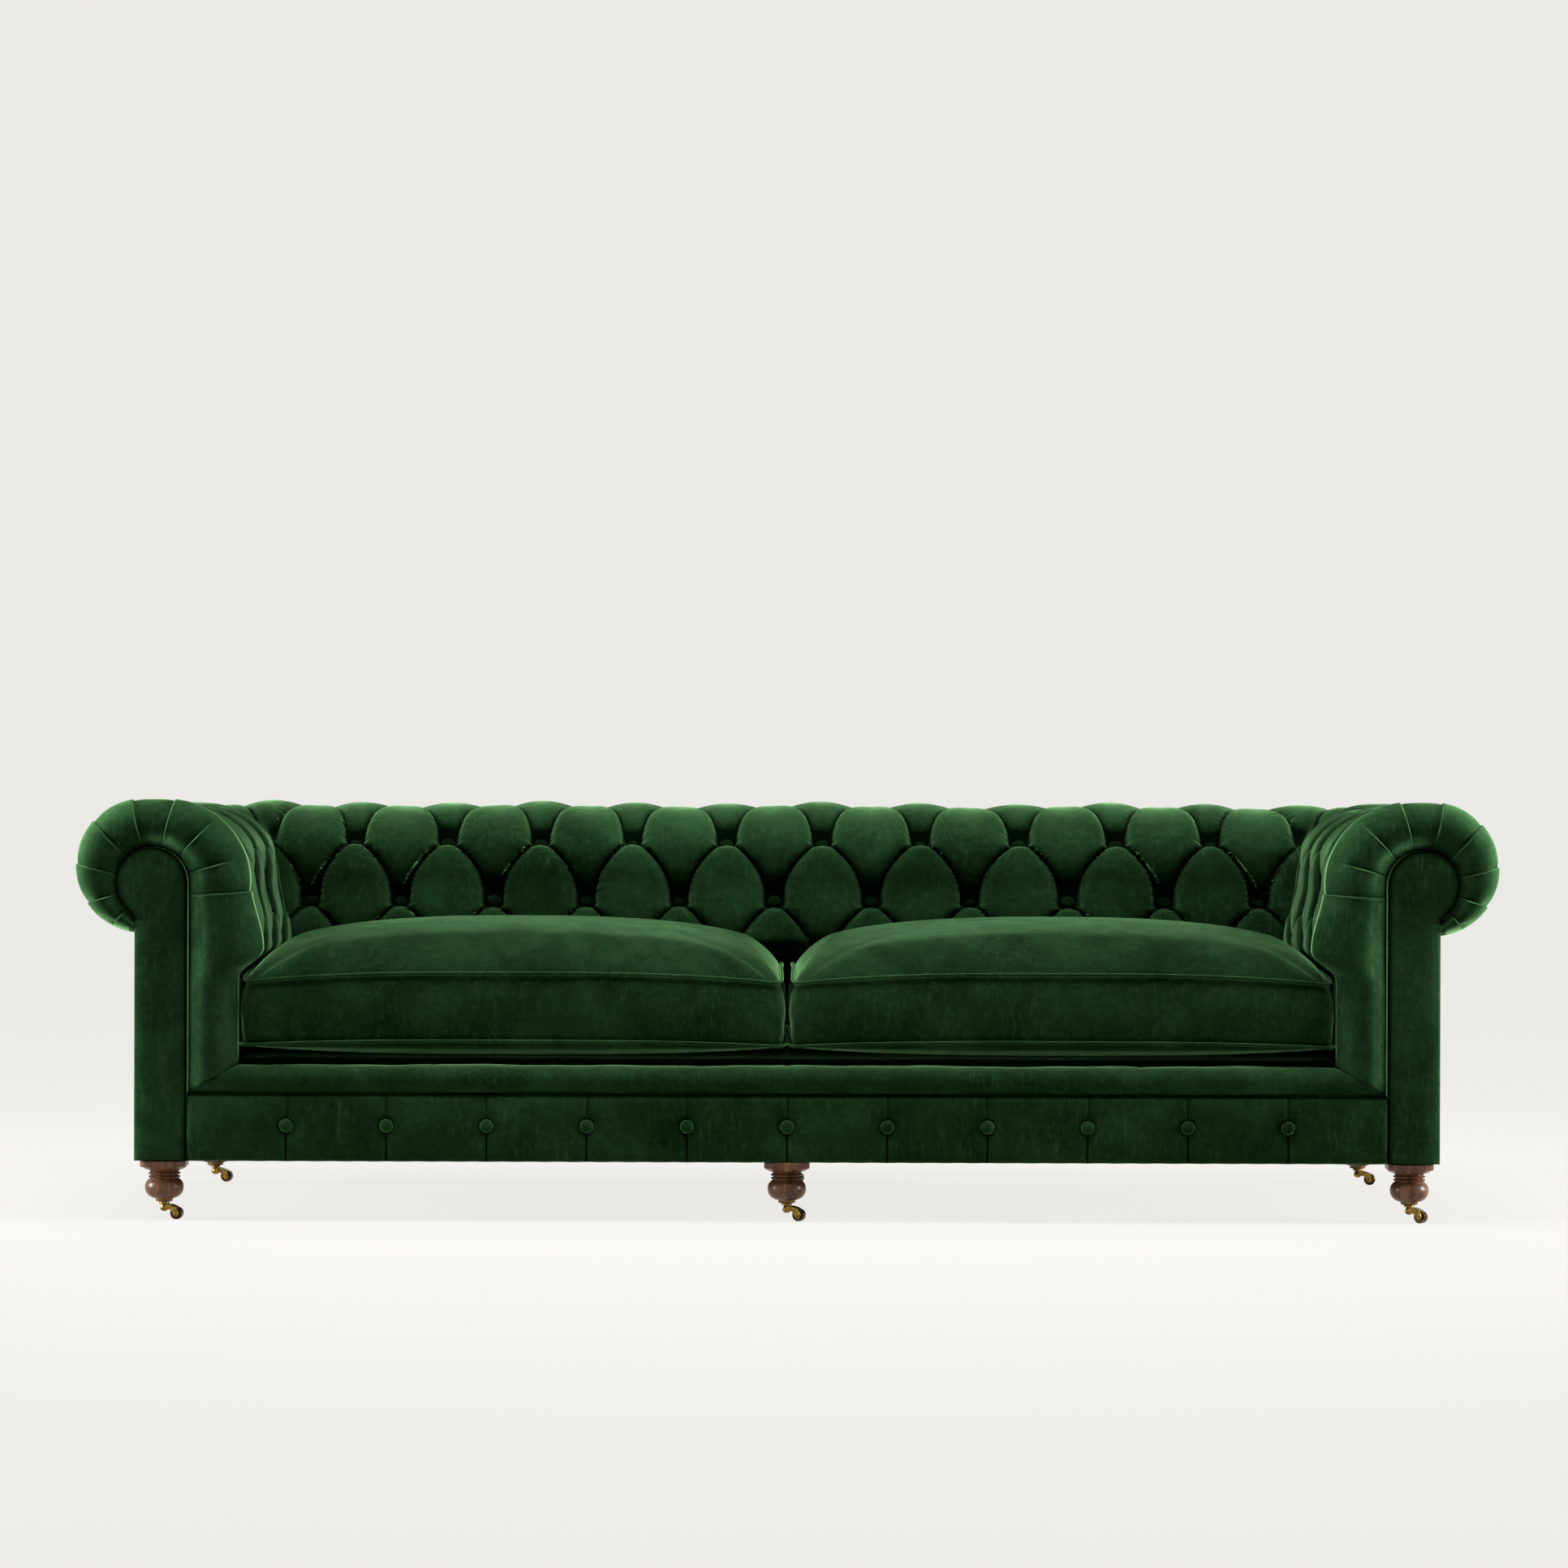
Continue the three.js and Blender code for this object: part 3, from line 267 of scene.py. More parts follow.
def velvet():
    """Cut-pile velvet: a dark ground, nap that mottles it, short crushed streaks and a pale sheen, with painted shade
    and painted highlights read from a per-point attribute.
    """
    made, tree, shader = material("green_velvet")
    plain = object_coordinates(tree, (1, 1, 1))
    along = object_coordinates(tree, (1.0, 1.0, 0.16))
    across = object_coordinates(tree, (0.2, 0.2, 1.0))
    cloud = noise(tree, plain, 7.0, 5.0, 0.6, 0.6)
    ground = ramp(tree, cloud, [(0.3, (0.0022, 0.0085, 0.0026)), (0.5, (0.0042, 0.0150, 0.0048)), (0.72, (0.0078, 0.0255, 0.0086))])
    pile = ramp(tree, noise(tree, plain, 95.0, 6.0, 0.7), [(0.3, (0.72, 0.72, 0.72)), (0.7, (1.3, 1.3, 1.3))])
    ground = mixed(tree, 1.0, ground, pile, "MULTIPLY")
    upright = ramp(tree, noise(tree, along, 150.0, 4.0, 0.7, 1.2), [(0.52, (0, 0, 0)), (0.7, (1, 1, 1))])
    level = ramp(tree, noise(tree, across, 130.0, 4.0, 0.7, 1.2), [(0.54, (0, 0, 0)), (0.72, (1, 1, 1))])
    streak = mixed(tree, 0.5, upright, level, "ADD")
    patches = ramp(tree, noise(tree, plain, 9.0, 3.0), [(0.38, (0.10, 0.10, 0.10)), (0.68, (0.40, 0.40, 0.40))])
    strength = mixed(tree, 1.0, streak, patches, "MULTIPLY")
    ground = mixed(tree, strength, ground, (0.024, 0.070, 0.026))
    # Painted shading: a per-point value darkens the base colour in folds, pits and grooves, and brightens it where
    # highlights are painted.
    painted_shading = add(tree, "ShaderNodeAttribute", {}, attribute_name="painted_shading").outputs["Fac"]
    halved = add(tree, "ShaderNodeMath", {1: 0.5, 2: 0.5}, operation="MULTIPLY_ADD")
    tree.links.new(painted_shading, halved.inputs[0])
    shading_level = halved.outputs[0]
    shade = ramp(tree, shading_level, [(0.0, (8.6, 7.6, 8.2)), (0.5, (1, 1, 1)), (0.85, (0.12, 0.12, 0.12))])
    ground = mixed(tree, 1.0, ground, shade, "MULTIPLY")
    tree.links.new(ground, shader.inputs["Base Color"])
    shader.inputs["Roughness"].default_value = 0.82
    shader.inputs["Specular IOR Level"].default_value = 0.0
    nap = ramp(tree, noise(tree, plain, 13.0, 5.0, 0.65, 1.0), [(0.3, (0.55, 0.55, 0.55)), (0.7, (1.0, 1.0, 1.0))])
    # The same painted shading darkens or brightens the sheen.
    gleam = ramp(tree, shading_level, [(0.0, (1.8, 1.8, 1.8)), (0.5, (1, 1, 1)), (0.85, (0.06, 0.06, 0.06))])
    nap = mixed(tree, 1.0, nap, gleam, "MULTIPLY")
    tree.links.new(nap, shader.inputs["Sheen Weight"])
    shader.inputs["Sheen Roughness"].default_value = 0.36
    shader.inputs["Sheen Tint"].default_value = (0.30, 0.66, 0.27, 1)
    bumped(tree, shader, [
        (noise(tree, plain, 26.0, 4.0, 0.6, 0.8), 0.25, 0.004),
        (noise(tree, plain, 420.0, 3.0, 0.6), 0.30, 0.0006),
        (noise(tree, plain, 1500.0, 2.0, 0.6), 0.35, 0.0002),
    ])
    return made


def turned_walnut():
    """Varnished walnut with grain that runs up the leg."""
    made, tree, shader = material("varnished_walnut")
    grain = object_coordinates(tree, (1.0, 1.0, 0.07))
    plain = object_coordinates(tree, (1, 1, 1))
    lines = noise(tree, grain, 210.0, 6.0, 0.65, 1.2)
    broad = noise(tree, grain, 34.0, 3.0, 0.5, 2.2)
    wood = ramp(tree, broad, [(0.3, (0.040, 0.0160, 0.0075)), (0.52, (0.100, 0.041, 0.018)), (0.75, (0.175, 0.077, 0.034))])
    wood = mixed(tree, 0.55, wood, ramp(tree, lines, [(0.35, (0.35, 0.3, 0.28)), (0.65, (1.25, 1.2, 1.15))]), "MULTIPLY")
    tree.links.new(wood, shader.inputs["Base Color"])
    gloss = ramp(tree, noise(tree, plain, 60.0, 4.0), [(0.3, (0.27, 0.27, 0.27)), (0.7, (0.42, 0.42, 0.42))])
    tree.links.new(gloss, shader.inputs["Roughness"])
    shader.inputs["Specular IOR Level"].default_value = 0.22
    shader.inputs["Coat Weight"].default_value = 0.10
    shader.inputs["Coat Roughness"].default_value = 0.18
    bumped(tree, shader, [(lines, 0.18, 0.0003)])
    return made


def aged_brass(name, tones):
    """Polished brass, browned in random patches."""
    made, tree, shader = material(name)
    plain = object_coordinates(tree, (1, 1, 1))
    tone = noise(tree, plain, 120.0, 5.0, 0.65)
    metal = ramp(tree, tone, list(zip((0.3, 0.5, 0.7), tones)))
    tree.links.new(metal, shader.inputs["Base Color"])
    shader.inputs["Metallic"].default_value = 1.0
    rough = ramp(tree, noise(tree, plain, 260.0, 4.0), [(0.3, (0.2, 0.2, 0.2)), (0.7, (0.42, 0.42, 0.42))])
    tree.links.new(rough, shader.inputs["Roughness"])
    bumped(tree, shader, [(noise(tree, plain, 700.0, 3.0), 0.12, 0.0001)])
    return made


def frame_timber(name, tones, gloss):
    made, tree, shader = material(name)
    grain = object_coordinates(tree, (0.06, 1.0, 1.0))
    wood = ramp(tree, noise(tree, grain, 90.0, 5.0, 0.6, 1.0), list(zip((0.3, 0.7), tones)))
    tree.links.new(wood, shader.inputs["Base Color"])
    shader.inputs["Roughness"].default_value = 0.7
    shader.inputs["Specular IOR Level"].default_value = gloss
    bumped(tree, shader, [(noise(tree, grain, 300.0, 4.0), 0.3, 0.0004)])
    return made


def spring_steel():
    made, tree, shader = material("oiled_spring_steel")
    plain = object_coordinates(tree, (1, 1, 1))
    steel = ramp(tree, noise(tree, plain, 150.0, 4.0), [(0.3, (0.16, 0.16, 0.17)), (0.7, (0.34, 0.34, 0.35))])
    tree.links.new(steel, shader.inputs["Base Color"])
    shader.inputs["Metallic"].default_value = 1.0
    shader.inputs["Roughness"].default_value = 0.4
    bumped(tree, shader, [(noise(tree, plain, 900.0, 2.0), 0.1, 0.0001)])
    return made


def black_cambric():
    """Thin black cloth with an open plain weave."""
    made, tree, shader = material("black_cambric")
    plain = object_coordinates(tree, (1, 1, 1))
    ground = ramp(tree, noise(tree, plain, 12.0, 4.0), [(0.3, (0.008, 0.008, 0.009)), (0.7, (0.02, 0.02, 0.021))])
    tree.links.new(ground, shader.inputs["Base Color"])
    shader.inputs["Roughness"].default_value = 0.95
    waves = [add(tree, "ShaderNodeTexWave", {"Scale": 260.0}, bands_direction=axis) for axis in ("X", "Y")]
    for wave in waves:
        tree.links.new(plain, wave.inputs["Vector"])
    bumped(tree, shader, [(wave.outputs["Fac"], 0.4, 0.0003) for wave in waves])
    return made


VELVET = velvet()
WALNUT = turned_walnut()
BRASS = aged_brass("aged_brass", ((0.070, 0.036, 0.008), (0.20, 0.118, 0.024), (0.40, 0.255, 0.065)))
DARK_BRASS = aged_brass("dark_brass", ((0.020, 0.013, 0.008), (0.050, 0.033, 0.018), (0.110, 0.072, 0.034)))
TIMBER = frame_timber("frame_timber", ((0.33, 0.2, 0.1), (0.52, 0.36, 0.2)), 0.3)
# Near-black green for the arms' front boards: painted shade where their edges show in the groove beside the facings.
GROOVE_SHADE_TIMBER = frame_timber("groove_shade_timber", ((0.0012, 0.0024, 0.0013), (0.0026, 0.0046, 0.0027)), 0.0)
STEEL = spring_steel()
CAMBRIC = black_cambric()


# Tufted pads
def smooth(t):
    t = np.clip(t, 0, 1)
    return t * t * (3 - 2 * t)


def fold_spread(v):
    """Top row's number, and how wide the folds have spread from its buttons at v, from 0 to 1."""
    top = np.minimum(np.ceil(v), 1)
    t = np.clip(top - v, 0, 1)
    face = FULL_SPREAD * np.sin(t * math.pi / 2) ** 0.8
    roll = FULL_SPREAD * (1 - (1 - t) ** 1.4)
    return top, t, np.where(top > 0, roll, face)


def rounded(level, crisp):
    """Share of a fold's depth at a distance inside the edge of a stuffed lobe."""
    away = 1 - np.clip(level / 0.030, 0, 1)
    return away**2 + (1 - np.sqrt(np.clip(1 - away**2, 0, 1)) - away**2) * crisp


def tuft_sink(u, v, crisp):
    """How deep the cover lies under the pad's full outline, u tufts along and v rows above row A,
    and how near it is to the line of a fold.

    Each lobe comes forward steeply from its upper folds, and sinks slowly into the folds below it.
    """
    top, t, spread = fold_spread(v)
    rise = np.where(top > 0, ROLL_RISE, ROW_RISE)
    _, _, further = fold_spread(v - 0.01)
    slope = np.where((v < 1) & (t < 0.97), (further - spread) / 0.01, 0) / 2 * TUFT_SPACING / rise
    column = np.where(np.mod(top, 2) == 0, 0.5, 0.0)
    aside = np.abs(np.mod(u - column + 0.5, 1) - 0.5)
    level = (spread / 2 - aside) * TUFT_SPACING
    inside = level / np.sqrt(1 + (slope * np.exp(-np.abs(level) / 0.020)) ** 2)
    calmed = 1 + (PLEAT_DEPTH / FOLD_DEPTH - 1) * smooth(v)
    crisp = crisp * smooth(2.0 - np.abs(slope))
    narrow, wide = (np.exp(np.minimum(inside, 0) / reach) for reach in (0.006, 0.026))
    tuck = wide + (narrow - wide) * 0.45 * crisp
    lobe_above = rounded((aside - (1 - FULL_SPREAD) / 2) * TUFT_SPACING, crisp)
    tuck = np.where(top > 0, tuck, lobe_above + (tuck - lobe_above) * smooth(t / 0.5))
    fold = FOLD_DEPTH * calmed * np.where(inside > 0, rounded(inside, crisp), tuck)
    above = (1 - t) * rise
    below = t * rise
    from_low, from_top = (0.5 - aside) * TUFT_SPACING, aside * TUFT_SPACING
    pit_above = np.exp(-((from_low / 0.019) ** 2)) * np.exp(-((above / 0.043) ** 1.3))
    pit_below = np.exp(-((from_top / 0.019) ** 2)) * np.exp(-((below / 0.0125) ** 1.6)) * (top <= 0)
    pit = (PIT_DEPTH - FOLD_DEPTH) * np.maximum(pit_above, pit_below)
    gather = 0.0011 * np.cos(2 * math.pi * from_top / 0.0085) * np.exp(-((from_top / 0.012) ** 2))
    gather *= np.exp(-(((below - 0.022) / 0.014) ** 2)) * (top <= 0)
    crest = 0.008 * (0.5 + 0.5 * np.cos(2 * math.pi * u)) * smooth(v / 0.6) * (1 - smooth((v - 0.8) / 0.4))
    pleat = PLEAT_DEPTH * np.exp(-np.abs(np.mod(u + 0.5, 1) - 0.5) * TUFT_SPACING / 0.020)
    kept = np.clip(1 + (v + 2) * 0.55, 0, 1)
    line = np.exp(-((level / 0.0045) ** 2)) * (v < 1) * (spread > 0.1)
    return np.where(v >= 1, pleat + crest, (fold + pit + gather) * kept + crest), line


def swell(u, v, phase):
    """Slow unevenness of the stuffing."""
    return 0.0016 * np.sin(2.1 * u + 1.7 * v + phase) + 0.0012 * np.sin(4.3 * u - 2.6 * v + 2.3 * phase)


def row_of(up):
    return (up - TOP_ROW_UP) / np.where(up > TOP_ROW_UP, ROLL_RISE, ROW_RISE)


def section_stops():
    line = scroll_line(PAD_INSET, DECK_BOTTOM)
    length = length_of(line)
    return line, length, np.linspace(0, length, int(length / PAD_CELL) + 1)


def place_of(u, origin, drift):
    """Distance along the pad of a place u tufts from its origin; drift is the listed unevenness."""
    return origin + u * TUFT_SPACING + np.interp(u, *drift)


def tufts_along(along, origin, drift):
    u = np.linspace(-8, 8, 641)
    return np.interp(along, place_of(u, origin, drift), u)


def along_folds(u, v):
    """Shifts each row's stations so that one lies on every fold, with its neighbours in step."""
    top, _, spread = fold_spread(v)
    index = np.arange(u.shape[1])
    moved = u.copy()
    for row in np.flatnonzero((v < 1) & (spread > 0.12)):
        centres = np.arange(-9, 10) + (0.5 if top[row] % 2 == 0 else 0.0)
        folds = np.sort(np.r_[centres - spread[row] / 2, centres + spread[row] / 2])
        folds = folds[(folds > u[row, 6]) & (folds < u[row, -7])]
        nearest = np.rint(np.interp(folds, u[row], index))
        room = np.diff(np.r_[-5, nearest, len(index) + 4]) / 2.5
        before, after = np.minimum(2, room[:-1]), np.minimum(2, room[1:])
        knots = np.column_stack([nearest - before, nearest, nearest + after]).reshape(-1)
        shifts = np.repeat(folds - u[row, nearest.astype(int)], 3)
        moved[row] += np.interp(index, np.r_[0, knots, index[-1]], np.r_[0, shifts, 0])
    return moved


def paint_shading(obj, amounts):
    """Stores painted shading at each point, from -1, a painted highlight, to 1, painted shade."""
    obj.data.attributes.new("painted_shading", "FLOAT", "POINT").data.foreach_set("value", np.array(amounts, dtype=float))


def tufted_pad(name, node, starts, ends, origin, place, phase, cap_rail, drift, painted_amount):
    """Skin of a tufted pad. starts and ends give each section point's run along the pad."""
    line, length, stops = section_stops()
    flat, normals = resample(line, stops)
    up = length - stops
    v = row_of(up)
    rows, columns = len(stops), int((ends(-SCROLL_OVERHANG) - starts(-SCROLL_OVERHANG)) / PAD_CELL) + 1
    share = np.linspace(0, 1, columns)[None, :]
    inward = flat[:, :1]
    for _ in range(3):
        first, last = starts(inward), ends(inward)
        along = first + (last - first) * share
        u = tufts_along(along, origin, drift)
        u = along_folds(u, v)
        along = place_of(u, origin, drift)
        from_end = np.minimum(along - first, last - along)
        crisp = smooth((from_end - END_FADE / 2) / END_FADE)
        sink, fold_line = tuft_sink(u, v[:, None], crisp)
        sink = sink + swell(u, v[:, None], phase) * smooth((3 + v[:, None]) / 2)
        sink = END_TUCK + (sink - END_TUCK) * smooth(from_end / END_FADE)
        # The tack line and the foot of the pad stay where they are fixed.
        held = smooth(stops / 0.03) * smooth(up / 0.05)
        sink = sink * held[:, None]
        inward = flat[:, :1] - normals[:, :1] * sink
    height = flat[:, 1:] - normals[:, 1:] * sink
    first, last = starts(inward), ends(inward)
    along[:, 0], along[:, -1] = first[:, 0], last[:, -1]
    along = np.clip(along, first, last)
    rail_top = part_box(cap_rail)[1][2] + GAP
    inner = [(LINING_INWARD, DECK_BOTTOM), (LINING_INWARD, rail_top), (TACK_INWARD, rail_top)]
    rings = []
    for ring_inward, ring_up in inner:
        spread = starts(ring_inward) + (ends(ring_inward) - starts(ring_inward)) * share[0]
        rings.append(np.column_stack([np.full(columns, ring_inward), spread, np.full(columns, ring_up)]))
    skin = np.stack([inward, along, height], axis=2).reshape(-1, 3)
    verts = np.vstack([skin] + rings)
    faces = []
    depth = sink.reshape(-1)
    for a, b, c, d in grid_faces(rows, columns):
        if depth[a] + depth[c] > depth[b] + depth[d]:
            faces += [(a, b, c), (a, c, d)]
        else:
            faces += [(a, b, d), (b, c, d)]
    total = rows + len(inner)
    faces += grid_faces(len(inner) + 1, columns, start=(rows - 1) * columns)
    faces += [((total - 1) * columns + c, (total - 1) * columns + c + 1, c + 1, c) for c in range(columns - 1)]
    faces += [tuple(r * columns for r in range(total)), tuple((r + 1) * columns - 1 for r in reversed(range(total)))]
    pad = new_object(name, place(verts), faces, VELVET, replaces=(node,))
    # Painted shade: dark in deep hollows and along fold lines, a set amount over the whole pad, and more towards the
    # lowest rows.
    hollow = np.maximum(smooth((depth - SHADE_PAINT_FROM) / SHADE_PAINT_REACH), 0.85 * fold_line.reshape(-1))
    painted_shading_amounts = painted_amount + 0.16 * np.repeat(smooth(0.2 - 1.5 * v), columns)
    painted_shading = np.full(len(verts), painted_amount)
    painted_shading[:depth.size] = painted_shading_amounts + (1 - painted_shading_amounts) * hollow
    paint_shading(pad, painted_shading)
    return pad


def button_mesh(spots):
    """Domed buttons: each spot is (point, outward)."""
    profile = [(1.0, -0.35), (1.04, 0.0), (0.98, 0.2), (0.84, 0.38), (0.6, 0.5), (0.3, 0.56)]
    sides = 20
    verts, faces = [], []
    for point, outward in spots:
        point, outward = Vector(point), Vector(outward).normalized()
        turn = outward.to_track_quat("Z", "Y").to_matrix()
        base = len(verts)
        for radius, rise in profile:
            for k in range(sides):
                angle = 2 * math.pi * k / sides
                verts.append(point + turn @ (Vector((radius * math.cos(angle), radius * math.sin(angle), rise)) * BUTTON_RADIUS))
        verts.append(point + outward * BUTTON_RADIUS * 0.58)
        faces += grid_faces(len(profile), sides, True, base)
        top = base + (len(profile) - 1) * sides
        faces += [(top + k, top + (k + 1) % sides, len(verts) - 1) for k in range(sides)]
        faces.append(tuple(base + k for k in reversed(range(sides))))
    return verts, faces


def pad_buttons(name, tufts, origin, place, drift):
    """Buttons of rows A and B: tufts gives the places along each row."""
    line, length, _ = section_stops()
    spots = []
    for row, places in tufts:
        stop = length - TOP_ROW_UP - row * ROW_RISE - BUTTON_LIFT
        (flat,), (normal,) = resample(line, np.array([stop]))
        seat = flat - normal * (PIT_DEPTH - BUTTON_PROUD)
        for u in places:
            run = place_of(u, origin, drift)
            here = place(np.array([[seat[0], run, seat[1]]]))[0]
            there = place(np.array([[seat[0] + normal[0], run, seat[1] + normal[1]]]))[0]
            spots.append((here, there - here))
    verts, faces = button_mesh(spots)
    buttons = new_object(name, verts, faces, VELVET)
    # Painted shade on the buttons, which sit in the pits.
    paint_shading(buttons, np.full(len(verts), 0.55))


def arm_place(side):
    return lambda v: np.column_stack([side * (ARM_OUTER - v[:, 0]), v[:, 1], v[:, 2]])


def back_place(v):
    return np.column_stack([v[:, 1], BACK_OUTER - v[:, 0], v[:, 2]])


ARM_TUFT_ORIGIN = 0.132
EVEN = ((-8, 8), (0, 0))
BACK_DRIFT = ((-6.5, -5, -4.5, -2.5, -1.5, -0.5, 0.5, 1.5, 2.5, 3.5, 6.5),
              (0, -0.009, -0.017, -0.022, -0.0265, -0.0265, -0.024, -0.016, -0.007, -0.002, 0))
# The pads' last argument is a set amount of painted shade: some on the arms, none on the back.
for side, word in ((1, "right"), (-1, "left")):
    tufted_pad(
        f"tufted_arm_{word}", f"arm_pad_{word}",
        lambda inward: BORDER_BACK + GAP + 0 * inward, lambda inward: BACK_OUTER - GAP - inward,
        ARM_TUFT_ORIGIN, arm_place(side), 0.7 + side, f"arm_top_rail_{word}", EVEN, 0.34,
    )
    pad_buttons(f"arm_buttons_{word}", [(0, (-0.5, -1.5, -2.5)), (-1, (0, -1, -2))], ARM_TUFT_ORIGIN, arm_place(side), EVEN)
tufted_pad(
    "tufted_back", "back_pad",
    lambda inward: -(ARM_OUTER - GAP - inward), lambda inward: ARM_OUTER - GAP - inward,
    0.0, back_place, 2.4, "back_top_rail", BACK_DRIFT, 0.0,
)
pad_buttons("back_buttons", [(0, [k + 0.5 for k in range(-5, 5)]), (-1, range(-5, 6))], 0.0, back_place, BACK_DRIFT)


# Camera, light and floor
def area_light(name, place, target, size, power, colour=(1, 1, 1)):
    data = bpy.data.lights.new(name, "AREA")
    data.shape = "RECTANGLE"
    data.size, data.size_y = size
    data.energy = power
    data.color = colour
    lamp = bpy.data.objects.new(name, data)
    bpy.context.scene.collection.objects.link(lamp)
    aim = Vector(target) - Vector(place)
    lamp.matrix_world = Matrix.Translation(place) @ aim.to_track_quat("-Z", "Y").to_matrix().to_4x4()
    return lamp


PAPER = (0.915, 0.897, 0.864)


def seen_directly(tree):
    """1 for rays that show the backdrop itself, in the camera, in a gloss or through a glass."""
    path = add(tree, "ShaderNodeLightPath")
    seen = path.outputs["Is Camera Ray"]
    for ray in ("Is Glossy Ray", "Is Transmission Ray"):
        either = add(tree, "ShaderNodeMath", operation="MAXIMUM")
        tree.links.new(seen, either.inputs[0])
        tree.links.new(path.outputs[ray], either.inputs[1])
        seen = either.outputs[0]
    return seen


def backdrop_material():
    made = bpy.data.materials.new("paper_sweep")
    made.use_nodes = True
    tree = made.node_tree
    shader = tree.nodes["Principled BSDF"]
    shader.inputs["Base Color"].default_value = (0.50, 0.49, 0.475, 1)
    shader.inputs["Roughness"].default_value = 0.95
    shader.inputs["Specular IOR Level"].default_value = 0.05
    glow = add(tree, "ShaderNodeEmission", {"Color": (*PAPER, 1), "Strength": 1.0})
    share = add(tree, "ShaderNodeMath", {1: 0.9}, operation="MULTIPLY")
    tree.links.new(seen_directly(tree), share.inputs[0])
    mix = add(tree, "ShaderNodeMixShader")
    tree.links.new(share.outputs[0], mix.inputs["Fac"])
    tree.links.new(shader.outputs["BSDF"], mix.inputs[1])
    tree.links.new(glow.outputs["Emission"], mix.inputs[2])
    tree.links.new(mix.outputs["Shader"], tree.nodes["Material Output"].inputs["Surface"])
    return made


def paper_sweep():
    """A floor that curves up into a wall far behind the sofa."""
    half, near, far, bend, height = 16.0, -14.0, 9.0, 3.0, 12.0
    section = [(near, 0.0)] + [(far - bend + bend * math.sin(a), bend - bend * math.cos(a))
                               for a in np.linspace(0, math.pi / 2, 24)] + [(far, height)]
    verts = [(x, y, z) for y, z in section for x in (-half, half)]
    mesh = bpy.data.meshes.new("paper_sweep")
    mesh.from_pydata(verts, [], grid_faces(len(section), 2))
    mesh.polygons.foreach_set("use_smooth", [True] * len(mesh.polygons))
    mesh.materials.append(backdrop_material())
    sweep = bpy.data.objects.new("paper_sweep", mesh)
    bpy.context.scene.collection.objects.link(sweep)


def studio():
    scene = bpy.context.scene
    scene.view_settings.view_transform = "Standard"
    paper_sweep()
    data = bpy.data.cameras.new("camera")
    data.sensor_width = SENSOR
    data.lens = SENSOR * FOCAL_PIXELS / PHOTO_SIDE
    camera = bpy.data.objects.new("camera", data)
    scene.collection.objects.link(camera)
    tilt = Matrix.Rotation(math.pi / 2 - CAMERA_DOWN, 4, "X") @ Matrix.Rotation(CAMERA_ROLL, 4, "Z")
    camera.matrix_world = Matrix.Translation(CAMERA_PLACE) @ tilt
    scene.camera = camera
    world = bpy.data.worlds.new("studio")
    scene.world = world
    world.use_nodes = True
    tree = world.node_tree
    light = tree.nodes["Background"]
    light.inputs["Color"].default_value = (0.93, 0.94, 0.96, 1)
    light.inputs["Strength"].default_value = 0.12
    shown = add(tree, "ShaderNodeBackground", {"Color": (*PAPER, 1), "Strength": 1.0})
    mix = add(tree, "ShaderNodeMixShader")
    tree.links.new(seen_directly(tree), mix.inputs["Fac"])
    tree.links.new(light.outputs["Background"], mix.inputs[1])
    tree.links.new(shown.outputs["Background"], mix.inputs[2])
    tree.links.new(mix.outputs["Shader"], tree.nodes["World Output"].inputs["Surface"])
    area_light("overhead_softbox", (0.0, -0.75, 3.3), (0.0, 0.0, 0.4), (3.8, 1.4), 290)
    area_light("rear_softbox", (0.0, 1.4, 2.9), (0.0, 0.1, 0.6), (4.0, 0.9), 60)
    for side, word in ((-1, "left"), (1, "right")):
        box = area_light(f"{word}_softbox", (side * 3.3, -0.6, 0.85), (side * 1.1, -0.2, 0.5), (0.8, 1.0), 42)
        box.data.spread = math.radians(110)


studio()


# Pleated borders round the facings
BORDER_DEPTH = BORDER_BACK - FRONT
CREASES = [(226, 0.95), (197, 1.0), (166, 1.0), (134, 1.0), (104, 1.0), (76, 1.0), (46, 0.9), (16, 0.72)]
STRAIGHT_CREASE = 0.045
CREASE_SPREAD = (-7, -4.6, -3, -2, -1.3, -0.8, -0.4, 0, 0.4, 0.8, 1.3, 2, 3, 4.6, 7)


def on_ray(line, angles):
    """Points of a line round the head where rays from its centre meet it."""
    seen = np.degrees(np.arctan2(line[:, 1] - HEAD_CENTRE[1], line[:, 0] - HEAD_CENTRE[0]))
    seen = np.where(seen < -100, seen + 360, seen)
    order = np.argsort(seen)
    return np.column_stack([np.interp(angles, seen[order], line[order, k]) for k in (0, 1)])


def at_height(line, heights):
    part = line[line[:, 0] > HEAD_CENTRE[0]]
    part = part[np.argsort(part[:, 1])]
    return np.column_stack([np.interp(heights, part[:, 1], part[:, 0]), heights])


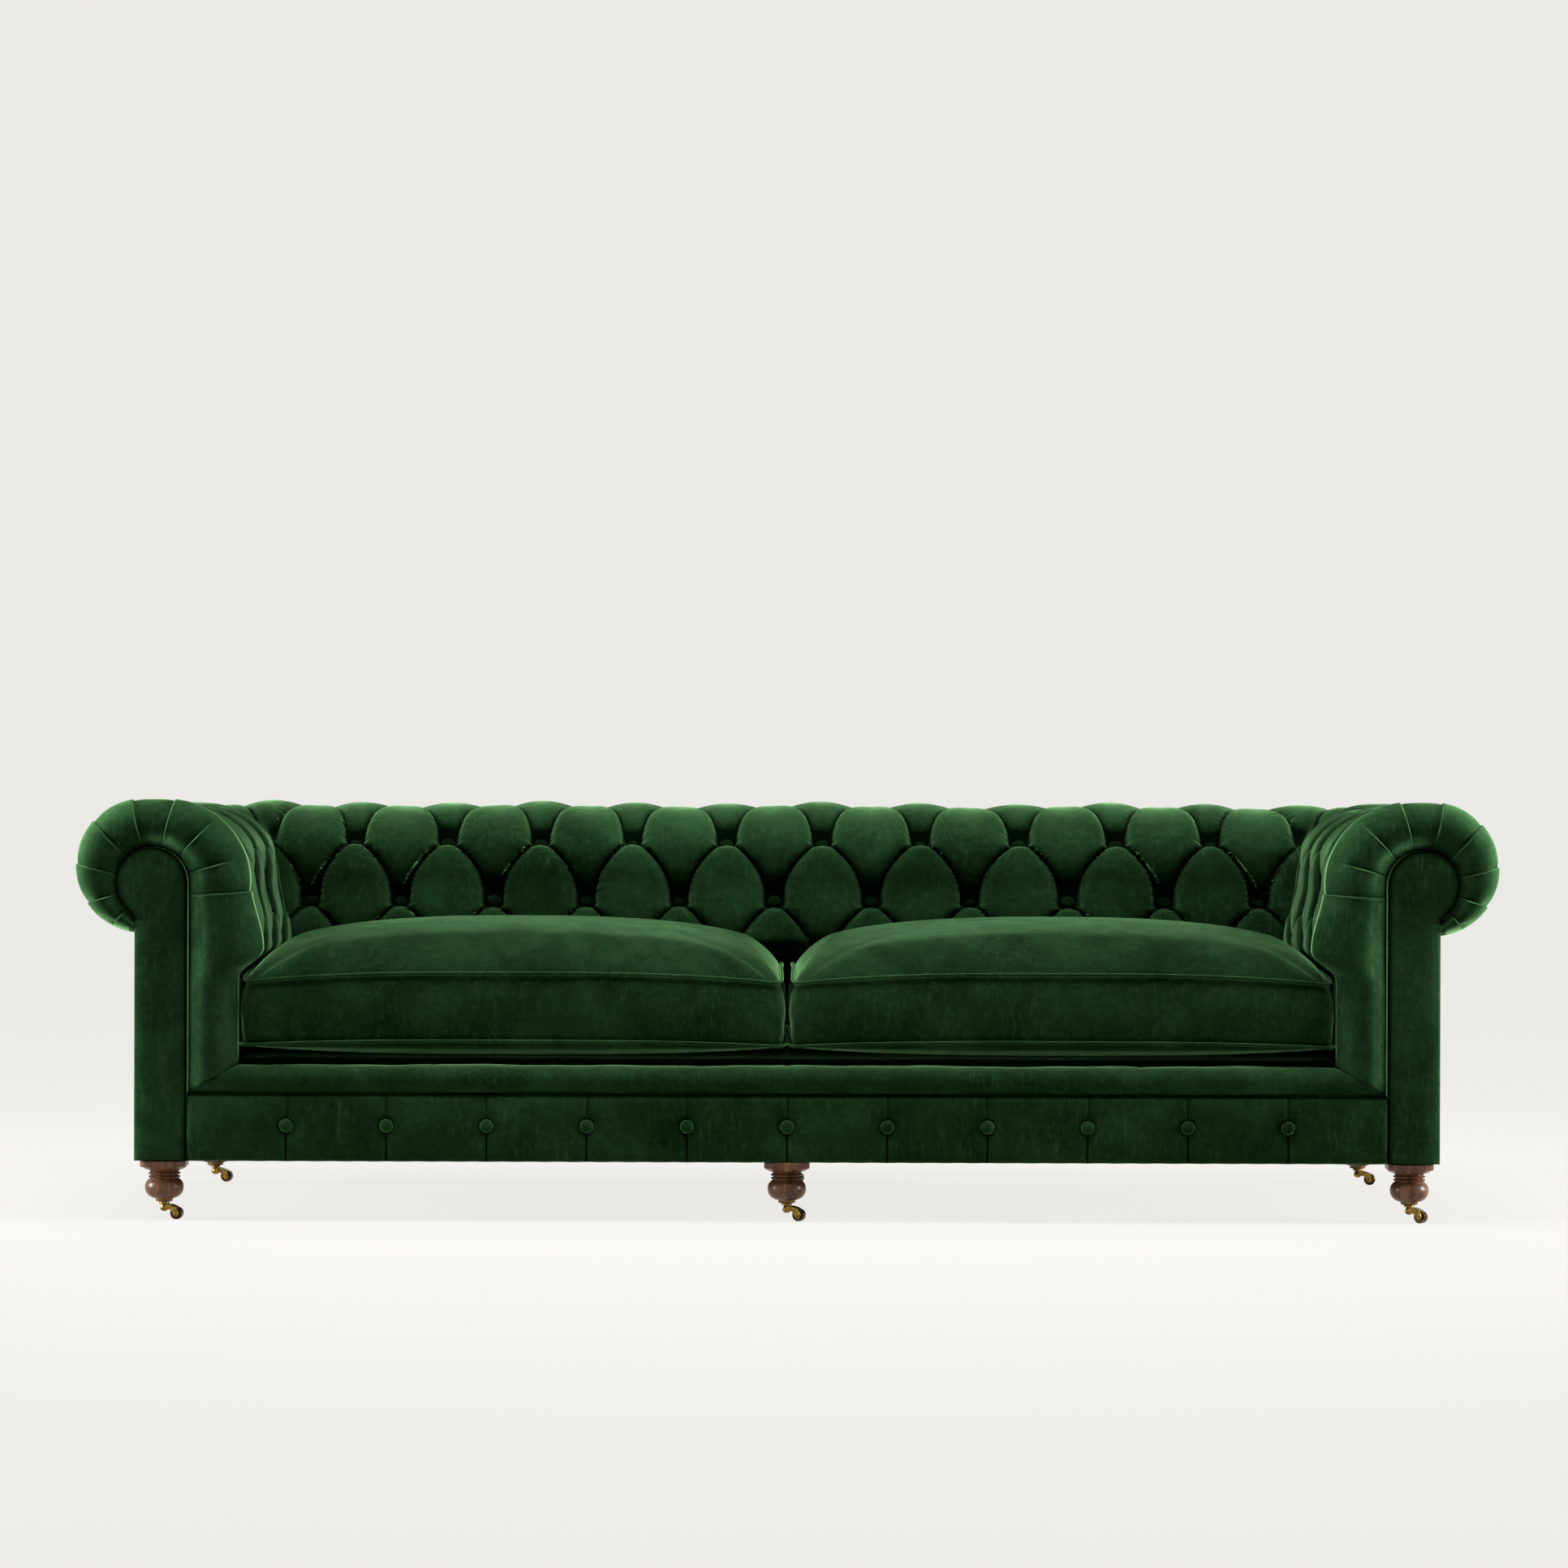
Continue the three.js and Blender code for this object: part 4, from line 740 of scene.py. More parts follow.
def border_stations():
    """Seam and rim points round the border, with each crease's run along it."""
    seam = keyhole_line(TACK_INWARD, GAP)
    rim = scroll_line(0, LIP_HIGH[2])
    pinch = int(np.argmax(seam[:, 0] < TACK_INWARD - GAP))
    seam_round = seam[max(0, pinch - 1):]
    rim_dense, _ = resample(rim, np.linspace(0, length_of(rim), 1500))
    seam_dense, _ = resample(seam_round, np.linspace(0, length_of(seam_round), 1200))
    first = math.degrees(math.atan2(seam_round[0][1] - HEAD_CENTRE[1], seam_round[0][0] - HEAD_CENTRE[0])) % 360
    angles = set(np.round(np.arange(0, first, 3.0), 3)) | {round(first, 3)}
    angles |= {round(a + s, 3) for a, _ in CREASES for s in CREASE_SPREAD if 0 <= a + s < first}
    angles = np.array(sorted(angles, reverse=True))
    head = (on_ray(seam_dense, angles), on_ray(rim_dense, angles))
    head[0][0], head[1][0] = seam_round[0], rim[0]
    foot = LIP_LOW[2] + GAP
    shares = np.array(sorted(set(np.linspace(0.012, 1, 46)) | {STRAIGHT_CREASE + s * 0.0055 for s in CREASE_SPREAD if STRAIGHT_CREASE + s * 0.0055 > 0.006}))
    seam_heights = HEAD_CENTRE[1] + (foot - HEAD_CENTRE[1]) * (shares + 0.02 * np.sin(math.pi * np.clip(shares / 0.2, 0, 1)))
    rim_heights = HEAD_CENTRE[1] + (LIP_HIGH[2] + GAP - HEAD_CENTRE[1]) * shares
    straight = (np.column_stack([np.full(len(shares), FACING_WIDTH + GAP), seam_heights]), at_height(rim_dense, rim_heights))
    seams, rims = np.vstack([head[0], straight[0]]), np.vstack([head[1], straight[1]])
    middle = (seams + rims) / 2
    run = np.r_[0, np.cumsum(np.linalg.norm(np.diff(middle, axis=0), axis=1))]
    creases = [(float(np.interp(-a, -angles, run[:len(angles)])), reach) for a, reach in CREASES]
    creases.append((float(np.interp(STRAIGHT_CREASE, shares, run[len(angles):])), 1.0))
    return seams, rims, run, creases


def border_depth(out):
    """How far behind the front the plain section lies, as a share of the border's depth."""
    inner, outer = np.clip(0.48 - out, 0, 1) / 0.48, np.clip(out - 0.48, 0, 1) / 0.52
    rolled = 0.7 * outer**2 + 0.3 * (1 - np.sqrt(np.clip(1 - 0.97 * outer**2, 0, 1)))
    return 0.36 * inner**2.2 + 0.56 * rolled


def crease_sink(away, out, reach):
    """A knife pleat: a sharp step on one side of the crease and a slow return on the other."""
    step = np.where(away > 0, np.exp(-away / 0.0135), np.exp(away / 0.0016))
    ridge = np.exp(-(((away + 0.0030) / 0.0019) ** 2))
    fade = 1 - smooth((out - reach + 0.16) / 0.2) * (reach < 1)
    return (0.0062 * step - 0.0030 * ridge) * fade * (0.55 + 0.45 * np.sin(math.pi * np.clip(out, 0, 1)))


def pleated_border(side, word):
    seams, rims, run, creases = border_stations()
    turning_point = creases[4][0] + MM
    across = (1 - np.cos(np.linspace(0, math.pi, 27))) / 2
    section = [(w, float(border_depth(w))) for w in across] + [(1, 0.6), (1, 0.7), (0.997, 0.84), (0.985, 0.94), (0.965, 1.0), (0, 1.0)]
    rings = []
    for seam, rim, place in zip(seams, rims, run):
        width = float(np.linalg.norm(rim - seam))
        ring = []
        for out, back in section:
            sink = sum(
                float(crease_sink((place - at) * (1 if at < turning_point else -1), np.float64(out), reach))
                for at, reach in creases if abs(place - at) < 0.06
            )
            lobes = 0.0
            for (a, _), (b, _) in zip(creases[:-1], creases[1:]):
                if a <= place <= b:
                    lobes = -0.0036 * math.sin(math.pi * (place - a) / (b - a)) ** 0.8
            lobes *= math.sin(math.pi * min(1.0, out)) ** 0.6 if out > 0 else 0
            front_share = 1 - smooth((back - 0.2) / 0.6)
            y = FRONT + back * BORDER_DEPTH + (sink + lobes) * front_share + 0.0012
            narrow = (max(sink, 0.0) + lobes) * smooth((out - 0.6) / 0.4) * (back < 1)
            point = seam + (rim - seam) * (out - narrow / width)
            ring.append((side * (ARM_OUTER - point[0]), min(y, BORDER_BACK), point[1]))
        rings.append(ring)
    size = len(section)
    verts = [v for ring in rings for v in ring]
    faces = grid_faces(len(rings), size, True)
    faces += [tuple(range(size)), tuple((len(rings) - 1) * size + k for k in reversed(range(size)))]
    border = new_object(f"pleated_border_{word}", verts, faces, VELVET, replaces=(f"arm_border_{word}",))
    # Painted shade in the groove along the seam; painted highlights on the flank beside it, near the creases and all
    # along the inner side, and on the outer rim, strongest round the head's outer half.
    painted_shading_amounts = []
    for place in run:
        near = max(math.exp(-abs(place - at) / 0.010) for at, _ in creases)
        inner = 0.30 * near + 0.95 * float(smooth((place - creases[4][0]) / 0.05))
        for out, back in section:
            rim_light = 0.30 if place < creases[4][0] else 0.05
            painted_highlight = inner * math.exp(-(((out - 0.10) / 0.13) ** 2)) + rim_light * float(smooth((out - 0.55) / 0.4))
            painted_shading_amounts.append(float(smooth(1 - out / 0.045)) - painted_highlight * float(smooth(out / 0.05)) if back < 1 else 0.0)
    paint_shading(border, painted_shading_amounts)


def facing(side, word):
    """Flat keyhole panel with a soft edge, rounder along the arm's outer corner."""
    front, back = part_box(f"arm_facing_{word}")[0][1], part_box(f"arm_facing_{word}")[1][1]
    line = keyhole_line(TACK_INWARD + GAP, -GAP)
    stops = np.unique(np.r_[np.linspace(0, length_of(line), 260)])
    outline, outward = resample(line, stops)
    outer_edge = smooth((0.01 - outline[:, 0]) / 0.01) * (outline[:, 1] < HEAD_CENTRE[1] - HEAD_RADIUS)
    depth = back - front
    rings = []
    for share, offset in ((1.0, 0.0), (0.55, 0.0), (0.3, 0.09), (0.13, 0.28), (0.04, 0.55), (0.0, 1.0), (-0.04, 2.2), (-0.06, 4.0)):
        edge = (0.0032 + 0.0048 * outer_edge)[:, None]
        pulled = outline - outward * edge * offset
        pulled[:, 1] = np.clip(pulled[:, 1], BASE + 0.0006 * offset, None)
        rings.append([(side * (ARM_OUTER - p[0]), front + share * depth * (1 if share > 0 else 1), p[1]) for p in pulled])
    size = len(outline)
    verts = [v for ring in rings for v in ring]
    faces = grid_faces(len(rings), size, True)
    faces += [tuple(reversed(range(size))), tuple((len(rings) - 1) * size + k for k in range(size))]
    panel = new_object(f"arm_facing_cover_{word}", verts, faces, VELVET, replaces=(f"arm_facing_{word}",))
    # Painted shade on the panel's edge and sides where it meets the border; along the arm's outer corner it turns into
    # a painted highlight.
    edge_shading_share = 1 - 1.25 * outer_edge
    paint_shading(panel, [amount * part for amount in (1, 1, 1, 1, 0.9, 0.6, 0.2, 0) for part in edge_shading_share])


for side, word in ((1, "right"), (-1, "left")):
    pleated_border(side, word)
    facing(side, word)


# Lip, rail panel and outside covers
def front_lip():
    """Padded roll under the cushions, mitred into the borders, with three faint joins."""
    low, high = LIP_LOW, LIP_HIGH
    front, back = low[1] - 0.0025, high[1]
    height, depth = high[2] - low[2], high[1] - low[1]
    section = []
    for angle in np.linspace(-math.pi / 2, math.pi / 2, 19):
        rolled = (0.034 if angle > 0 else 0.018) * (1 - math.cos(angle) ** 0.85)
        section.append((front + rolled, (low[2] + high[2]) / 2 + height / 2 * math.sin(angle)))
    top = [(front + 0.034 + (depth - 0.032) * t, high[2] - 0.010 * t**2) for t in np.linspace(0.15, 1, 7)]
    section = section + top + [(back, low[2])]
    section = [(y, z) for y, z in section]
    ends = lambda z: ARM_OUTER - GAP * 2 - (FACING_WIDTH + (ARM_THICKNESS - FACING_WIDTH) * (z - low[2]) / height)
    shares = np.linspace(-1, 1, 361)
    joins = (-0.62, 0.0, 0.62)
    rings = []
    for share in shares:
        ring = []
        for y, z in section:
            x = share * ends(z)
            wave = 0.0011 * math.sin(9.7 * x + 0.6) + 0.0011 * math.sin(23.0 * x + 2.0) + 0.0007 * math.sin(57.0 * x)
            seam = sum(0.0026 * math.exp(-abs(x - j) / 0.004) for j in joins)
            soft = max(0.0, math.sin(math.pi * min(1, max(0, (z - low[2]) / height)))) ** 0.5
            ring.append((x, y + (seam - wave) * (y < back - 0.012) * soft, min(z + (wave - seam) * 0.6 * (y < back - 0.012) * (z > low[2] + 0.02), high[2] + 0.002)))
        rings.append(ring)
    size = len(section)
    verts = [v for ring in rings for v in ring]
    faces = grid_faces(len(rings), size, True)
    faces += [tuple(range(size)), tuple((len(rings) - 1) * size + k for k in reversed(range(size)))]
    lip = new_object("front_lip_roll", verts, faces, VELVET, replaces=("front_lip",))


RAIL_BUTTONS = 11
RAIL_SPACING = 0.1754
RAIL_BUTTON_RADIUS = 0.0113


def rail_panel():
    """Padded rail cover with buttons, a loose fold above each and a tight pleat below."""
    low, high = PANEL_LOW, PANEL_HIGH
    button_z = low[2] + 0.52 * (high[2] - low[2])
    centres = [(k - (RAIL_BUTTONS - 1) / 2) * RAIL_SPACING for k in range(RAIL_BUTTONS)]
    xs = set(np.round(np.arange(low[0], high[0], 0.0055), 5)) | {low[0], high[0]}
    for c in centres:
        xs |= {round(c + s, 5) for s in (-0.004, -0.0026, -0.0014, -0.0006, 0, 0.0006, 0.0014, 0.0026, 0.004)}
    xs = np.array(sorted(xs))
    zs = np.unique(np.r_[low[2] + np.array([0, 0.0008, 0.002, 0.0036, 0.006]), np.linspace(low[2] + 0.009, high[2] - 0.009, 27), high[2] - np.array([0.006, 0.0036, 0.002, 0.0008, 0])])
    X, Z = np.meshgrid(xs, zs)
    near = np.round(X / RAIL_SPACING + (RAIL_BUTTONS - 1) / 2).clip(0, RAIL_BUTTONS - 1)
    away = X - (near - (RAIL_BUTTONS - 1) / 2) * RAIL_SPACING
    rise = Z - button_z
    sway = 0.0022 * np.sin(near * 2.4 + 1.0) * np.clip(rise / 0.05, 0, 1) ** 1.5
    above = smooth((rise - 0.008) / 0.01)
    below = smooth((-rise - 0.008) / 0.006)
    pleat = 0.0046 * np.exp(-np.abs(away - sway) / 0.0028) * above + 0.0034 * np.exp(-np.abs(away) / 0.0012) * below
    pleat -= 0.0018 * np.exp(-(((away - sway + 0.0062) / 0.004) ** 2)) * above
    dimple = 0.0095 * np.exp(-((np.hypot(away, rise * 1.15) / 0.021) ** 1.5))
    valley = 0.0032 * np.exp(-((away / 0.034) ** 2)) * np.exp(-((rise / 0.075) ** 2))
    swellings = 0.0012 * np.sin(11.0 * X + 0.4) * np.sin(31.0 * Z) + 0.0009 * np.sin(27.0 * X + 2.0 + 40 * Z)
    edge = np.minimum(Z - low[2], high[2] - Z)
    ends = np.minimum(X - low[0], high[0] - X)
    roll = 0.0075 * (1 - np.sqrt(np.clip(1 - (1 - np.clip(edge / 0.011, 0, 1)) ** 2, 0, 1)))
    tuck = 0.006 * (1 - np.sqrt(np.clip(1 - (1 - np.clip(ends / 0.009, 0, 1)) ** 2, 0, 1)))
    crown = 0.0035 * np.sin(math.pi * np.clip((Z - low[2]) / (high[2] - low[2]), 0, 1)) ** 0.8
    inner = smooth(edge / 0.008)
    Y = low[1] + (pleat + dimple + valley + swellings) * inner + roll + tuck - crown
    rows, columns = X.shape
    verts = np.stack([X, Y, Z], axis=2).reshape(-1, 3)
    back = [(x, high[1], z) for z in (high[2], low[2]) for x in xs]
    verts = np.vstack([verts, back])
    faces = grid_faces(rows + 2, columns)
    faces += [((rows + 1) * columns + c, (rows + 1) * columns + c + 1, c + 1, c) for c in range(columns - 1)]
    faces += [tuple(r * columns for r in range(rows + 2)), tuple((r + 1) * columns - 1 for r in reversed(range(rows + 2)))]
    panel = new_object("rail_cover", verts, faces, VELVET, replaces=("front_rail_panel",))
    # Painted shade along each pleat and to its left, a painted highlight to its right, and painted shade round each
    # button and along the top edge under the lip.
    beside = 0.36 * np.exp(-(((away - 0.025) / 0.020) ** 2)) - 0.16 * np.exp(-(((away + 0.030) / 0.030) ** 2))
    beside *= np.exp(-(((rise + 0.012) / 0.034) ** 2))
    lines = 0.9 * np.exp(-((away / 0.0016) ** 2)) * below + 0.22 * np.exp(-(((away - sway) / 0.0024) ** 2)) * above
    shading_level = np.maximum(lines, 0.6 * np.exp(-((np.hypot(away, rise) / 0.0155) ** 6))) - beside * (lines < 0.1)
    shading_level = np.maximum(shading_level, 0.95 * smooth((Z - high[2] + 0.0085) / 0.005))
    paint_shading(panel, np.r_[shading_level.reshape(-1), np.zeros(len(back))])
    spots = [((c, low[1] + 0.0035, button_z), (0.0, -1.0, 0.0)) for c in centres]
    buttons, button_faces = button_mesh(spots)
    scale = RAIL_BUTTON_RADIUS / BUTTON_RADIUS
    middle = [Vector(spot[0]) for spot in spots]
    per = len(buttons) // len(spots)
    buttons = [middle[k // per] + (v - middle[k // per]) * scale for k, v in enumerate(buttons)]
    new_object("rail_buttons", buttons, button_faces, VELVET)


def soft_cover(name, node, out, dome=0.002, cell=0.012, edge=0.005, body="sofa", material=None):
    """Cloth-covered slab: the face that looks along out is softly domed and its rim rolls over."""
    low, high = (np.array(corner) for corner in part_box(node))
    axis = int(np.argmax(np.abs(out)))
    sign = 1 if out[axis] > 0 else -1
    across = [k for k in range(3) if k != axis]
    spans = []
    for k in across:
        count = max(8, int((high[k] - low[k]) / cell))
        inner = np.linspace(low[k] + edge * 1.4, high[k] - edge * 1.4, count)
        rim = edge * np.array([0, 0.12, 0.35, 0.7])
        spans.append(np.unique(np.r_[low[k] + rim, inner, high[k] - rim]))
    P, Q = np.meshgrid(spans[0], spans[1])
    gap = np.minimum(np.minimum(P - spans[0][0], spans[0][-1] - P), np.minimum(Q - spans[1][0], spans[1][-1] - Q))
    drop = edge * (1 - np.sqrt(np.clip(1 - (1 - np.clip(gap / edge, 0, 1)) ** 2, 0, 1)))
    s, t = (P - spans[0][0]) / np.ptp(spans[0]), (Q - spans[1][0]) / np.ptp(spans[1])
    bulge = dome * (np.sin(math.pi * s) * np.sin(math.pi * t)) ** 0.5
    uneven = 0.0006 * np.sin(17 * P + 3) * np.sin(13 * Q + 1) + 0.0004 * np.sin(39 * P + 21 * Q)
    face_at = high[axis] if sign > 0 else low[axis]
    W = face_at - sign * (drop - bulge - uneven * smooth(gap / 0.02))
    far = low[axis] if sign > 0 else high[axis]
    rows, columns = P.shape
    verts = np.zeros((rows * columns, 3))
    verts[:, across[0]], verts[:, across[1]], verts[:, axis] = P.ravel(), Q.ravel(), W.ravel()
    rim_ids = [c for c in range(columns)] + [r * columns + columns - 1 for r in range(1, rows)]
    rim_ids += [(rows - 1) * columns + c for c in reversed(range(columns - 1))] + [r * columns for r in reversed(range(1, rows - 1))]
    back = verts[rim_ids].copy()
    back[:, axis] = far
    start = len(verts)
    verts = np.vstack([verts, back])
    faces = grid_faces(rows, columns)
    size = len(rim_ids)
    faces += [(rim_ids[k], rim_ids[(k + 1) % size], start + (k + 1) % size, start + k) for k in range(size)]
    faces.append(tuple(start + k for k in range(size)))
    cover = new_object(name, verts, faces, material or VELVET, body, (node,))
    return cover


front_lip()
rail_panel()
soft_cover("outside_back_cover", "outside_back", (0, 1, 0), dome=0.004)
soft_cover("outside_arm_cover_right", "outside_arm_right", (1, 0, 0), dome=0.003)
soft_cover("outside_arm_cover_left", "outside_arm_left", (-1, 0, 0), dome=0.003)
soft_cover("seat_platform", "seat_deck", (0, 0, 1), dome=0.0, edge=0.016)
for name in ("arm_front_board_right", "arm_front_board_left"):
    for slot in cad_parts[name].material_slots:
        slot.material = VELVET


# Seat cushions
CUSHION_CELL = 0.0125
UPPER_MIDDLE, UPPER_CORNER = 0.4345, 0.418
LOWER_MIDDLE, LOWER_CORNER = 0.3155, 0.3075
PIPING_RADIUS = 0.0030
PIPING_PROUD = 0.0050
SWELL_CAP = 0.010


def cushion_grid(side, word):
    """Top, boxing and underside of a boxed cushion on one grid; returns verts, faces and the two seam loops."""
    low, high = (np.array(corner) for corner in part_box(f"seat_cushion_{word}"))
    middle, half = (low[:2] + high[:2]) / 2, (high[:2] - low[:2]) / 2
    nx, ny = int(2 * half[0] / CUSHION_CELL), int(2 * half[1] / CUSHION_CELL)
    rows = 9
    ease = lambda t: 0.55 * t + 0.45 * np.sin(math.pi / 2 * t)
    A, B = np.meshgrid(ease(np.linspace(-1, 1, nx + 1)), ease(np.linspace(-1, 1, ny + 1)), indexing="ij")

    def plan(a, b, grow):
        reach = np.maximum(np.maximum(np.abs(a), np.abs(b)), 1e-9)
        rounded = reach / (np.abs(a) ** 26 + np.abs(b) ** 26 + 1e-300) ** (1 / 26)
        pull = 0.003 * reach**2
        return (middle[0] + a * rounded * (half[0] - 0.003 + grow - pull * (1 - b**2)),
                middle[1] + b * rounded * (half[1] - 0.003 + grow - pull * (1 - a**2)))

    def seam_up(a, b, mid, corner):
        return mid + (corner - mid) * np.abs(a * b) ** 3

    dome = ((1 - np.abs(A) ** 2.4).clip(0) * (1 - np.abs(B) ** 2.4).clip(0)) ** 0.45
    x, y = plan(A, B, -0.006)
    crown = high[2] - 0.006 - UPPER_MIDDLE
    top = np.stack([x, y, seam_up(A, B, UPPER_MIDDLE, UPPER_CORNER) + crown * dome], axis=2)
    x, y = plan(A, B, 0.0)
    base = seam_up(A, B, LOWER_MIDDLE, LOWER_CORNER)
    under = np.stack([x, y, np.maximum(base - (base - low[2] + 0.004) * dome**0.8, low[2])], axis=2)
    rim = [(i, 0) for i in range(nx)] + [(nx, j) for j in range(ny)] + [(nx - i, ny) for i in range(nx)] + [(0, ny - j) for j in range(ny)]
    index = lambda layer, i, j: layer * (nx + 1) * (ny + 1) + i * (ny + 1) + j
    verts = np.vstack([under.reshape(-1, 3), top.reshape(-1, 3)])
    faces = []
    for i in range(nx):
        for j in range(ny):
            p, q, r, s = index(0, i, j), index(0, i + 1, j), index(0, i + 1, j + 1), index(0, i, j + 1)
            faces.append((p, s, r, q))
            p, q, r, s = index(1, i, j), index(1, i + 1, j), index(1, i + 1, j + 1), index(1, i, j + 1)
            faces.append((p, q, r, s))
    lower = [index(0, i, j) for i, j in rim]
    upper = [index(1, i, j) for i, j in rim]
    loops = [lower]
    a = np.array([A[i, j] for i, j in rim])
    b = np.array([B[i, j] for i, j in rim])
    for row in range(1, rows):
        share = row / rows
        bulge = 0.0055 * math.sin(math.pi * share) ** 0.7
        x, y = plan(a, b, -0.006 * share + bulge)
        z = verts[lower, 2] * (1 - share) + verts[upper, 2] * share
        loops.append(list(range(len(verts), len(verts) + len(rim))))
        verts = np.vstack([verts, np.column_stack([x, y, z])])
    loops.append(upper)
    for first, second in zip(loops[:-1], loops[1:]):
        for k in range(len(rim)):
            n = (k + 1) % len(rim)
            faces.append((first[k], first[n], second[n], second[k]))
    return verts, faces, lower, upper, list(range((nx + 1) * (ny + 1)))


def settle(cushion, pinned, cap, bounds):
    """Inflates the cover as cloth about its pinned seams, and applies the result within the cap."""
    mesh = cushion.data
    start = np.array([v.co for v in mesh.vertices])
    group = cushion.vertex_groups.new(name="seams")
    group.add([int(k) for k in pinned], 1.0, "REPLACE")
    cloth = cushion.modifiers.new("cloth", "CLOTH")
    settings = cloth.settings
    settings.quality = 6
    settings.mass = 0.35
    settings.tension_stiffness = settings.compression_stiffness = 22
    settings.shear_stiffness = 8
    settings.bending_stiffness = 0.35
    settings.vertex_group_mass = "seams"
    settings.use_pressure = True
    settings.uniform_pressure_force = 4.0
    settings.shrink_min = -0.012
    settings.effector_weights.gravity = 0
    cloth.collision_settings.use_collision = False
    cloth.point_cache.frame_start, cloth.point_cache.frame_end = 1, 20
    scene = bpy.context.scene
    for step in range(1, 21):
        scene.frame_set(step)
    bpy.context.view_layer.update()
    shown = cushion.evaluated_get(bpy.context.evaluated_depsgraph_get())
    moved = np.array([v.co for v in shown.data.vertices])
    cushion.modifiers.remove(cloth)
    scene.frame_set(1)
    shift = moved - start
    length = np.linalg.norm(shift, axis=1)[:, None]
    shift *= np.minimum(1, cap / np.maximum(length, 1e-9))
    final = np.clip(start + shift, bounds[0], bounds[1])
    mesh.vertices.foreach_set("co", final.reshape(-1))
    mesh.update()


def piping(name, loop, body, radius=PIPING_RADIUS):
    """A welt swept round a closed seam."""
    loop = np.array(loop)
    ahead, behind = np.roll(loop, -1, axis=0), np.roll(loop, 1, axis=0)
    tangent = (ahead - behind) / np.linalg.norm(ahead - behind, axis=1)[:, None]
    side = np.cross(tangent, (0, 0, 1.0))
    side /= np.linalg.norm(side, axis=1)[:, None]
    lift = np.cross(side, tangent)
    turns = 10
    rings = [loop + radius * (math.cos(t) * side + math.sin(t) * lift) for t in 2 * math.pi * np.arange(turns) / turns]
    verts = np.stack(rings, axis=1).reshape(-1, 3)
    count = len(loop)
    faces = [(r * turns + c, r * turns + (c + 1) % turns, ((r + 1) % count) * turns + (c + 1) % turns, ((r + 1) % count) * turns + c)
             for r in range(count) for c in range(turns)]
    return new_object(name, verts, faces, VELVET, body)


def seat_cushion(side, word):
    body = f"cushion_{word}"
    verts, faces, lower, upper, underside = cushion_grid(side, word)
    cushion = new_object(f"cushion_cover_{word}", verts, faces, VELVET, body, (f"seat_cushion_{word}",))
    low, high = (np.array(corner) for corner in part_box(f"seat_cushion_{word}"))
    bounds = (low + (-0.002, -0.006, 0.0), high + (0.002, 0.006, 0.004))
    settle(cushion, set(lower) | set(upper) | set(underside), SWELL_CAP, bounds)
    final = np.array([v.co for v in cushion.data.vertices])
    # Painted shade: a little over the top and underside, much on the boxing's sides and back, and almost none on its
    # front.
    painted_amount = np.full(len(final), 0.22)
    painted_amount[underside] = 0.15
    painted_amount[len(underside) * 2:] = np.where(np.abs(final[len(underside) * 2:, 1] - final[:, 1].min()) < 0.04, 0.04, 0.75)
    paint_shading(cushion, painted_amount)
    smoothing = cushion.modifiers.new("finer", "SUBSURF")
    smoothing.levels = smoothing.render_levels = 1
    centre = verts[:, :2].mean(axis=0)
    for seam, place in ((lower, "lower"), (upper, "upper")):
        loop = final[seam].copy()
        out = loop[:, :2] - centre
        half = np.abs(out).max(axis=0)
        push = np.sign(out) * (np.abs(out) > half - 0.012)
        loop[:, :2] += PIPING_PROUD * push
        piping(f"piping_{place}_{word}", loop, body)


for side, word in ((1, "right"), (-1, "left")):
    seat_cushion(side, word)


# Turned legs: a square block with cut corners, a neck with two beads, a bun and a foot
PLACES = ("front_left", "front_centre", "front_right", "rear_left", "rear_centre", "rear_right")
LEG_SIDES = 64
LEG_HEIGHT = 0.073
LEG_BLOCK = 0.080
LEG_CUT = 0.014
LEG_BEVEL = 0.0015
LEG_BLOCK_LOW = 0.84
LEG_TURNING = (
    (0.0380, 0.815), (0.0355, 0.790), (0.0312, 0.765), (0.0268, 0.748), (0.0252, 0.728), (0.0247, 0.712),
    (0.0254, 0.700), (0.0274, 0.690), (0.0284, 0.676), (0.0281, 0.660), (0.0266, 0.650), (0.0246, 0.642),
    (0.0240, 0.628), (0.0247, 0.616), (0.0271, 0.607), (0.0284, 0.593), (0.0280, 0.579), (0.0264, 0.569),
    (0.0253, 0.557), (0.0262, 0.538), (0.0288, 0.510), (0.0313, 0.470), (0.0330, 0.420), (0.0339, 0.360),
    (0.0338, 0.300), (0.0325, 0.230), (0.0300, 0.170), (0.0262, 0.120), (0.0215, 0.085), (0.0175, 0.070),
    (0.0150, 0.060), (0.0148, 0.0015),
)


def ring_angles():
    return 2 * math.pi * (np.arange(LEG_SIDES) + 0.5) / LEG_SIDES - math.pi / 4


def block_ring(inset, height):
    """One ring of points round the leg's block, inside its sides by inset."""
    half = LEG_BLOCK / 2 - inset
    across, along = np.cos(ring_angles()), np.sin(ring_angles())
    reach = half / np.maximum(np.abs(across), np.abs(along))
    corner = (2 * half - LEG_CUT) / (np.abs(across) + np.abs(along))
    reach = np.minimum(reach, corner)
    return np.column_stack([across * reach, along * reach, np.full(LEG_SIDES, height)])


def turned_ring(radius, height):
    return np.column_stack([radius * np.cos(ring_angles()), radius * np.sin(ring_angles()), np.full(LEG_SIDES, height)])


def solid_of_rings(rings):
    """Vertices and faces of a closed solid through rings of equal point count."""
    size = len(rings[0])
    faces = grid_faces(len(rings), size, wrap_columns=True)
    faces += [tuple(range(size)), tuple(range((len(rings) - 1) * size, len(rings) * size))]
    return np.concatenate(rings), faces


